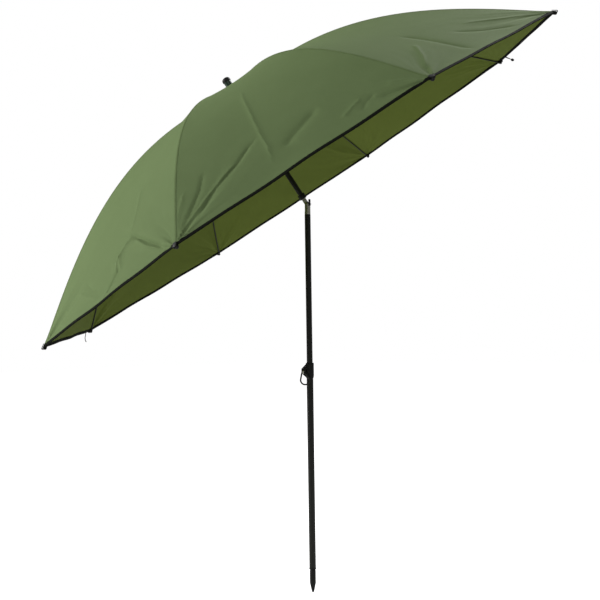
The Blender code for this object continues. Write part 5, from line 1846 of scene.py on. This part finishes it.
@dataclass
class HeadTrim:
    """The inner and upper poles with their collar, and the ferrule on the crown."""

    inner_wall: float = 1.0 * MM
    upper_radius: float = 9.5 * MM
    upper_wall: float = 1.0 * MM
    upper_foot: float = 30 * MM
    upper_top: float = 492 * MM
    collar_bore: float = 9.8 * MM
    collar_radius: float = 13.6 * MM
    collar_foot: float = 26 * MM
    collar_top: float = 46 * MM
    collar_groove: float = 0.6 * MM
    collar_edge: float = 1.6 * MM
    flange_radius: float = 17 * MM
    flange_foot: float = 498.2 * MM
    flange_top: float = 501.2 * MM
    stem_radius: float = 8.2 * MM
    stem_foot: float = 468.2 * MM
    body_radius: float = 14 * MM
    body_top: float = 548.2 * MM
    waist_depth: float = 0.5 * MM
    waist_height: float = 8 * MM
    ferrule_edge: float = 0.6 * MM
    cap_bore: float = 14.3 * MM
    cap_radius: float = 15.8 * MM
    cap_skirt: float = 6 * MM
    cap_dome: float = 11 * MM
    cap_edge: float = 0.5 * MM
    fit_gap: float = 0.3 * MM

    def build(self) -> None:
        """Build and dress the pieces."""
        low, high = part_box("inner_pole")
        inner = tube("inner_tube", high.x, self.inner_wall, low.z, high.z)
        fit(inner, BLACK_PAINT, "inner_pole", "inner_pole")
        upper = tube("upper_tube", self.upper_radius, self.upper_wall, self.upper_foot, self.upper_top)
        self.seat(upper, BLACK_PAINT, "upper_pole")
        self.build_collar()
        self.build_ferrule()

    def seat(self, piece: Piece, finish: Finish, node: str) -> None:
        """Lean a piece with the head and fit it there."""
        settle(piece, HEAD.matrix)
        fit(piece, finish, "head", node)

    def build_collar(self) -> None:
        """Turn the collar round the upper pole's foot, with a shallow groove."""
        radius, foot, top = self.collar_radius, self.collar_foot, self.collar_top
        groove, edge, middle = self.collar_groove, self.collar_edge, (foot + top) / 2
        rings = [
            (self.collar_bore, top), (radius - edge, top), (radius - edge * 0.3, top - edge * 0.3),
            (radius, top - edge), (radius, middle + groove), (radius - groove, middle),
            (radius, middle - groove), (radius, foot + edge), (radius - edge * 0.3, foot + edge * 0.3),
            (radius - edge, foot), (self.collar_bore, foot),
        ]
        self.seat(turned("foot_collar", rings, closed=True), BLACK_PLASTIC, "pole_collar")

    def build_ferrule(self) -> None:
        """Turn the green ferrule and its black domed cap."""
        edge, waist = self.ferrule_edge, self.waist_depth
        body, flange, stem = self.body_radius, self.flange_radius, self.stem_radius
        foot, top = self.flange_foot, self.flange_top
        rings = [
            (0, self.body_top), (body, self.body_top), (body, top + self.waist_height + 2 * waist),
            (body - waist, top + self.waist_height), (body - waist, top + 3 * waist), (body + edge, top),
            (flange - edge, top), (flange, top - edge), (flange, foot + edge), (flange - edge, foot),
            (stem, foot), (stem, self.stem_foot), (0, self.stem_foot),
        ]
        self.seat(turned("ferrule_body", rings), GREEN_PLASTIC, "ferrule")
        crown = self.body_top + self.fit_gap
        skirt = self.body_top - self.cap_skirt
        dome = [
            (self.cap_radius * math.sin(turn), crown + (self.cap_dome - self.fit_gap) * math.cos(turn))
            for turn in np.linspace(0, math.pi / 2, 15)
        ]
        rings = dome + [
            (self.cap_radius, skirt + self.cap_edge), (self.cap_radius - self.cap_edge, skirt),
            (self.cap_bore, skirt), (self.cap_bore, crown), (0, crown),
        ]
        self.seat(turned("ferrule_dome", rings), BLACK_PLASTIC, "ferrule_cap")


@dataclass
class FoldingFrame:
    """Ribs with their end caps, and the stretchers that carry them."""

    eye_radius: float = 3.2 * MM
    eye_hole: float = 1.3 * MM
    eye_thickness: float = 3.2 * MM
    eye_opening: float = 50 * DEGREE
    eye_edge: float = 0.3 * MM
    plate_edge: float = 0.5 * MM
    bar_overlap: float = 1.2 * MM
    plate_length: float = 8 * MM
    rib_radius: float = 2.5 * MM
    rib_points: int = 90
    rivet_along: float = 385 * MM
    rivet_below: float = 5 * MM
    saddle_radius: float = 4 * MM
    saddle_length: float = 14 * MM
    saddle_width: float = 5.4 * MM
    stretcher_radius: float = 2.3 * MM
    fork_length: float = 22 * MM
    fork_slot: float = 11 * MM
    fork_radius: float = 4 * MM
    cheek: float = 1.4 * MM
    rivet_radius: float = 2.6 * MM
    rivet_head: float = 1.1 * MM
    cap_seat: float = 1180.3 * MM
    cap_mouth: float = 4.6 * MM
    cap_radius: float = 5.6 * MM
    cap_bore: float = 2.8 * MM
    cap_depth: float = 14 * MM
    cap_length: float = 20 * MM
    cap_edge: float = 0.5 * MM
    hood_width: float = 12 * MM
    hood_edge: float = 0.35 * MM
    fit_gap: float = 0.3 * MM

    def build(self) -> None:
        """Build one rib, cap and stretcher, and copy them round the head."""
        rib, cap, stretcher = self.build_rib(), self.build_cap(), self.build_stretcher()
        place = self.stretcher_place()
        for number in range(HEAD.rib_count):
            matrix = HEAD.rib_matrix(number)
            mark = number + 1
            fit(duplicate(rib, f"bent_rib_{mark}", matrix), BLACK_PAINT, f"rib_{mark}", f"rib_{mark}")
            fit(duplicate(cap, f"rib_tip_{mark}", matrix), BLACK_PLASTIC, f"rib_{mark}", f"rib_cap_{mark}")
            arm = duplicate(stretcher, f"arm_{mark}", matrix @ place)
            fit(arm, BLACK_PAINT, f"stretcher_{mark}", f"stretcher_{mark}")
        for pattern in (rib, cap, stretcher):
            bpy.data.objects.remove(pattern)

    def hinge_eye(self, name: str) -> Piece:
        """Cut the flat eye that hinges on a wire ring at the origin.

        Args:
            name: The piece's name.

        Returns:
            The eye.
        """
        outline = arc_points((0, 0), self.eye_radius, self.eye_opening, 2 * math.pi - self.eye_opening, 24)
        half = self.eye_radius * math.sin(self.eye_opening)
        outline += [(self.plate_length, -half), (self.plate_length, half)]
        return plate(name, outline, self.eye_thickness, self.eye_edge, holes=[((0, 0), self.eye_hole)])

    def rivet_place(self) -> tuple[float, float, float]:
        """Return the stretcher's rivet in the rib's frame: out, up and the rib's slope there."""
        out, up, slope = (float(value[0]) for value in RIB.places(np.array([self.rivet_along])))
        return out - self.rivet_below * math.sin(slope), up - self.rivet_below * math.cos(slope), slope

    def build_rib(self) -> Piece:
        """Bend one rib with its eye and its saddle.

        Returns:
            The rib, in its own frame.
        """
        stations = np.linspace(self.plate_length - self.bar_overlap, RIB.length, self.rib_points)
        out, up, _ = RIB.places(stations)
        bar = wire("rib_bar", [(x, 0, z) for x, z in zip(out, up)], self.rib_radius)
        rivet_out, rivet_up, slope = self.rivet_place()
        outline = arc_points((0, 0), self.saddle_radius, math.pi, 2 * math.pi)
        outline += [(self.saddle_length / 2, self.rivet_below), (-self.saddle_length / 2, self.rivet_below)]
        place = Matrix.Translation((rivet_out, 0, rivet_up)) @ Matrix.Rotation(slope, 4, "Y")
        saddle = plate("rib_saddle", outline, self.saddle_width, self.plate_edge, place)
        return join("rib_pattern", [bar, self.hinge_eye("rib_eye"), saddle])

    def build_cap(self) -> Piece:
        """Turn one end cap, and hook its hood over the cloth's corner.

        Returns:
            The cap, in the rib's frame.
        """
        rounding = self.cap_length - self.cap_depth
        dome = [
            (self.cap_radius * math.sin(turn), self.cap_depth + rounding * math.cos(turn))
            for turn in np.linspace(0, math.pi / 2, 9)
        ]
        rings = dome + [
            (self.cap_mouth + 0.2 * self.cap_edge, self.cap_edge), (self.cap_mouth - 0.8 * self.cap_edge, 0),
            (self.cap_bore, 0), (self.cap_bore, self.cap_depth), (0, self.cap_depth),
        ]
        cup = turned("cap_cup", rings, sides=32)
        settle(cup, Matrix.Rotation(math.pi / 2, 4, "Y"))
        hood_outline = [
            (x * MM, z * MM)
            for x, z in (
                (17.4, 1.0), (19.6, 2.0), (21.0, 4.6), (21.3, 8.2), (20.2, 10.2), (17.5, 10.9), (3.0, 9.8),
                (1.2, 9.3), (0.9, 8.4), (2.2, 8.0), (17.0, 9.2), (18.1, 8.6), (18.2, 5.6), (16.6, 3.4),
            )
        ]
        hood = plate("cap_hood", hood_outline, self.hood_width, self.hood_edge)
        cap = join("cap_pattern", [cup, hood])
        out, up, slope = (float(value[0]) for value in RIB.places(np.array([self.cap_seat])))
        return settle(cap, Matrix.Translation((out, 0, up)) @ Matrix.Rotation(slope, 4, "Y"))

    def stretcher_place(self) -> Matrix:
        """Stand the stretcher between the runner's wire and the rivet.

        Returns:
            Its place in the rib's frame.
        """
        drop = HEAD.crown_height - HEAD.runner_height
        rivet_out, rivet_up, _ = self.rivet_place()
        rise = math.atan2(rivet_up + drop, rivet_out)
        return Matrix.Translation((0, 0, -drop)) @ Matrix.Rotation(-rise, 4, "Y")

    def build_stretcher(self) -> Piece:
        """Make one stretcher along X with its eye, its forked end and two rivet heads.

        Returns:
            The stretcher, in its own frame.
        """
        drop = HEAD.crown_height - HEAD.runner_height
        rivet_out, rivet_up, _ = self.rivet_place()
        length = math.hypot(rivet_out, rivet_up + drop)
        fork_start = length - self.fork_length
        ends = [(self.plate_length - self.bar_overlap, 0, 0), (fork_start + self.bar_overlap, 0, 0)]
        bar = wire("stretcher_bar", ends, self.stretcher_radius)
        inner = self.saddle_width / 2 + self.fit_gap
        outer = inner + self.cheek
        outline = [(fork_start, self.stretcher_radius), (fork_start, -self.stretcher_radius)]
        outline += arc_points((length, 0), self.fork_radius, -math.pi / 2, math.pi / 2)
        fork = plate("stretcher_fork", outline, 2 * outer, self.plate_edge)
        slot = box(
            "stretcher_slot", (length - self.fork_slot, -inner, -2 * self.fork_radius),
            (length + 2 * self.fork_radius, inner, 2 * self.fork_radius),
        )
        boolean(fork, slot, "DIFFERENCE")
        pieces = [bar, self.hinge_eye("stretcher_eye"), fork]
        radius, dome, root = self.rivet_radius, self.rivet_head, outer - self.cheek / 2
        rings = [
            (0, outer + dome), (radius * 0.6, outer + dome * 0.85), (radius, outer + dome * 0.2),
            (radius, root), (0, root),
        ]
        for side in (1, -1):
            head = turned("stretcher_rivet", rings, sides=24)
            turn = Matrix.Rotation(-side * math.pi / 2, 4, "X")
            pieces.append(settle(head, Matrix.Translation((length, 0, 0)) @ turn))
        return join("stretcher_pattern", pieces)


@dataclass
class TiltJoint:
    """The notched knuckle between the poles: fork, hood, rivet, spring latch and tongue."""

    fork_radius: float = 10.8 * MM
    fork_above: float = 15 * MM
    fork_below: float = 35.5 * MM
    tang_radius: float = 9.7 * MM
    tang_length: float = 40 * MM
    slot_half: float = 4.3 * MM
    slot_below: float = 25 * MM
    web_face: float = 9 * MM
    cheek_above: float = 10 * MM
    post_depth: float = 6.8 * MM
    pin_radius: float = 3 * MM
    head_radius: float = 4.5 * MM
    head_thickness: float = 1.8 * MM
    head_falls: tuple[float, float, float] = (0.2 * MM, 0.8 * MM, 1.3 * MM)
    half_length: float = 9.2 * MM
    lower_rivet_below: float = 30.2 * MM
    lower_rivet_radius: float = 2.9 * MM
    lower_rivet_head: float = 0.8 * MM
    hood_height: float = 5.2 * MM
    hood_wall: float = 0.7 * MM
    hood_skirt: float = 4 * MM
    hood_front: float = 3.6 * MM
    hood_rounding: float = 1.8 * MM
    latch_width: float = 7 * MM
    latch_thickness: float = 0.8 * MM
    latch_above: float = 12 * MM
    latch_rivet_below: float = 17 * MM
    latch_edge: float = 0.2 * MM
    stud_radius: float = 1.6 * MM
    stud_dome: float = 0.9 * MM
    nose_radius: float = 0.5 * MM
    nub_above: float = 2.5 * MM
    nub_reach: float = 14 * MM
    eye_radius: float = 7.6 * MM
    tongue_half: float = 4 * MM
    tongue_top: float = 26 * MM
    tongue_edge: float = 0.25 * MM
    shoulder_radius: float = 9.5 * MM
    shoulder: float = 3.7 * MM
    spigot_radius: float = 8.2 * MM
    spigot_length: float = 45 * MM
    notch_step: float = 16.2 * DEGREE
    notch_count: int = 4
    notch_radius: float = 0.8 * MM
    notch_outset: float = 0.15 * MM
    gap: float = 0.3 * MM
    edge: float = 0.5 * MM
    overrun: float = 3 * MM

    def build(self) -> None:
        """Build and dress the five pieces."""
        self.build_fork()
        self.build_hood()
        self.build_rivet()
        self.build_latch()
        self.build_tongue()

    def at_pivot(self, piece: Piece, finish: Finish, node: str) -> None:
        """Lift a piece to the pivot and fit it on the inner pole.

        Args:
            piece: The piece.
            finish: Its finish.
            node: Its CAD node.
        """
        settle(piece, Matrix.Translation((0, 0, HEAD.pivot_height)))
        smooth(piece)
        fit(piece, finish, "inner_pole", node)

    def across(self, name: str, radius: float, half: float, height: float = 0.0) -> Piece:
        """Return a bar along Y through the pivot's axis."""
        return rod(name, radius, (0, -half, height), (0, half, height), sides=48)

    def build_fork(self) -> None:
        """Turn the fork, slot it for the tongue and sink seats for the rivet's heads."""
        radius, edge = self.fork_radius, self.edge
        rings = [
            (0, self.fork_above), (radius - edge, self.fork_above), (radius, self.fork_above - edge),
            (radius, -self.fork_below + edge), (radius - edge, -self.fork_below),
            (self.tang_radius, -self.fork_below), (self.tang_radius, -self.fork_below - self.tang_length),
            (0, -self.fork_below - self.tang_length),
        ]
        fork = turned("knuckle_fork", rings, sides=96)
        reach = radius + self.overrun
        lower = self.domed_rod(
            "fork_lower_rivet", self.lower_rivet_radius, radius + self.lower_rivet_head, self.lower_rivet_head
        )
        settle(lower, Matrix.Translation((0, 0, -self.lower_rivet_below)))
        boolean(fork, lower, "UNION")
        top = self.fork_above + self.overrun
        cutters = [
            box(
                "fork_slot", (-reach, -self.slot_half, -self.slot_below),
                (self.web_face, self.slot_half, top),
            ),
            box("fork_top", (-reach, -reach, self.cheek_above), (radius - self.post_depth, reach, top)),
            self.across("fork_hole", self.pin_radius + self.gap, reach),
        ]
        seat = self.half_length - self.head_thickness - self.gap
        for side in (1, -1):
            ends = ((0, side * seat, 0), (0, side * reach, 0))
            cutters.append(rod("fork_seat", self.head_radius + self.gap, *ends, sides=48))
        for height in (self.nub_above, -self.latch_rivet_below):
            cutters.append(
                rod("fork_stud_hole", self.stud_radius + self.gap, (0, 0, height), (reach, 0, height))
            )
        for cutter in cutters:
            boolean(fork, cutter, "DIFFERENCE")
        self.at_pivot(fork, PLATED_STEEL, "tilt_fork")

    def domed_rod(self, name: str, radius: float, half: float, dome: float) -> Piece:
        """Turn a bar with domed ends and lay it along Y.

        Args:
            name: The piece's name.
            radius: The bar's radius.
            half: Half its length.
            dome: The height of each dome.

        Returns:
            The bar.
        """
        end = [
            (0, half), (radius * 0.55, half - dome * 0.15),
            (radius * 0.9, half - dome * 0.55), (radius, half - dome),
        ]
        rings = end + [(ring, -height) for ring, height in reversed(end)]
        piece = turned(name, rings, sides=48)
        return settle(piece, Matrix.Rotation(math.pi / 2, 4, "X"))

    def build_hood(self) -> None:
        """Turn the black hood, and cut it back to the fork's post with a skirt round the rivet's head."""
        inner = self.fork_radius + self.gap / 2
        radius = inner + self.hood_wall
        foot = self.fork_above + self.gap
        top = foot + self.hood_height
        rounding = self.hood_rounding
        rings = [(0, top)] + [
            (radius - rounding + rounding * math.sin(turn), top - rounding + rounding * math.cos(turn))
            for turn in np.linspace(0, math.pi / 2, 7)
        ]
        rings += [(radius, -self.hood_skirt), (inner, -self.hood_skirt), (inner, foot), (0, foot)]
        hood = turned("knuckle_hood", rings, sides=96)
        reach = radius + self.overrun
        cutters = [
            box("hood_front", (-reach, -reach, -reach), (-self.hood_front, reach, top + self.overrun)),
            box(
                "hood_side", (-reach, -reach, self.cheek_above),
                (self.fork_radius - self.post_depth, reach, top + self.overrun),
            ),
            box(
                "hood_slot", (-reach, -self.slot_half, foot - self.overrun),
                (self.eye_radius + self.gap, self.slot_half, top + self.overrun),
            ),
            self.across("hood_window", self.head_radius + 2 * self.gap, reach),
            rod(
                "hood_nub_hole", self.stud_radius + 2 * self.gap,
                (0, 0, self.nub_above), (reach, 0, self.nub_above),
            ),
        ]
        for cutter in cutters:
            boolean(hood, cutter, "DIFFERENCE")
        self.at_pivot(hood, BLACK_PLASTIC, "fork_cap")

    def build_rivet(self) -> None:
        """Turn the pivot rivet with a domed head at each end."""
        head = self.half_length - self.head_thickness
        falls = zip((0.6, 0.92, 1), self.head_falls)
        end = [
            (0, self.half_length),
            *((self.head_radius * share, self.half_length - fall) for share, fall in falls),
            (self.head_radius, head), (self.pin_radius, head),
        ]
        rings = end + [(radius, -height) for radius, height in reversed(end)]
        rivet = turned("knuckle_rivet", rings, sides=48)
        settle(rivet, Matrix.Rotation(math.pi / 2, 4, "X"))
        self.at_pivot(rivet, PLATED_STEEL, "pivot_rivet")

    def build_latch(self) -> None:
        """Make the leaf spring with its nose, its rivet and the round nub that is pulled to free it."""
        outer = self.web_face - self.gap
        inner = outer - self.latch_thickness
        half = self.latch_width / 2
        leaf = box(
            "leaf_spring", (inner, -half, self.overrun - self.slot_below), (outer, half, self.latch_above),
            self.latch_edge,
        )
        nose = rod(
            "leaf_nose", self.nose_radius, (inner, -half + self.gap, 0), (inner, half - self.gap, 0), sides=16
        )
        pieces = [leaf, nose]
        radius, dome, root = self.stud_radius, self.stud_dome, (inner + outer) / 2
        for name, height, end in (
            ("leaf_nub", self.nub_above, self.nub_reach),
            ("leaf_rivet", -self.latch_rivet_below, self.fork_radius),
        ):
            rings = [
                (0, end), (radius * 0.7, end - dome * 0.2), (radius, end - dome), (radius, root), (0, root),
            ]
            stud = turned(name, rings, sides=24)
            place = Matrix.Translation((0, 0, height)) @ Matrix.Rotation(math.pi / 2, 4, "Y")
            pieces.append(settle(stud, place))
        self.at_pivot(join("knuckle_latch", pieces), SPRING_STEEL, "tilt_latch")

    def build_tongue(self) -> None:
        """Cut the tongue with its notches, and turn the shoulder and spigot that carry the upper pole."""
        outline = arc_points((0, 0), self.eye_radius, math.pi, 2 * math.pi, 48)
        top = self.tongue_top + self.edge
        outline += [(self.eye_radius, top), (-self.eye_radius, top)]
        hole = ((0, 0), self.pin_radius + self.gap)
        tongue = plate("knuckle_tongue", outline, 2 * self.tongue_half, self.tongue_edge, holes=[hole])
        for n in range(self.notch_count):
            out = self.eye_radius + self.notch_outset
            x, z = out * math.cos(n * self.notch_step), -out * math.sin(n * self.notch_step)
            ends = ((x, -2 * self.tongue_half, z), (x, 2 * self.tongue_half, z))
            notch = rod("tongue_notch", self.notch_radius, *ends, sides=16)
            boolean(tongue, notch, "DIFFERENCE")
        rim, foot = self.shoulder_radius, self.tongue_top
        shoulder_top = foot + self.shoulder
        top = shoulder_top + self.spigot_length
        spigot = turned(
            "tongue_spigot",
            [
                (0, top), (self.spigot_radius, top), (self.spigot_radius, shoulder_top), (rim, shoulder_top),
                (rim, foot + self.edge), (rim - self.edge, foot), (0, foot),
            ],
        )
        boolean(tongue, spigot, "UNION")
        settle(tongue, HEAD.matrix)
        smooth(tongue)
        fit(tongue, PLATED_STEEL, "head", "tilt_tongue")


@dataclass
class SmallHardware:
    """The hinge, latch and clamp pieces that stay as solids, with broken edges and their own finishes."""

    broken_edge: float = 0.35 * MM
    broken_angle: float = 40 * DEGREE
    broken: tuple[str, ...] = ("crown_hub", "runner", "clamp_nut")
    painted_pins: tuple[str, ...] = ("spike_pin", "fork_pin", "tongue_pin")
    finishes: tuple[Finish, ...] = (BLACK_PAINT, PLATED_STEEL, SPRING_STEEL, BLACK_PLASTIC, GREEN_PLASTIC)

    def dress(self) -> None:
        """Give every carried-over node its finish, and round the edges that show."""
        for entry in frame["record"]["subparts"]:
            node = entry["node"]
            finish = next((f for f in self.finishes if f.slot.value == entry["material_slot"]), None)
            if node in self.painted_pins:
                finish = BLACK_PAINT
            if finish is not None:
                SHOP.dress_node(node, finish)
        for node in self.broken:
            bevel = frame["nodes"][node].modifiers.new("broken_edges", "BEVEL")
            bevel.width = self.broken_edge
            bevel.segments = 2
            bevel.limit_method = "ANGLE"
            bevel.angle_limit = self.broken_angle
            bevel.harden_normals = True
        LOG.info("small hardware")


def main() -> None:
    """Build the umbrella's visible pieces in order."""
    logging.basicConfig(level=logging.INFO, format="%(message)s")
    deselect()
    Studio().set_up()
    HemCords().build()
    LowerPole().build()
    HeadTrim().build()
    FoldingFrame().build()
    TiltJoint().build()
    SmallHardware().dress()
    Canopy().build()


if __name__ == "__main__":
    main()
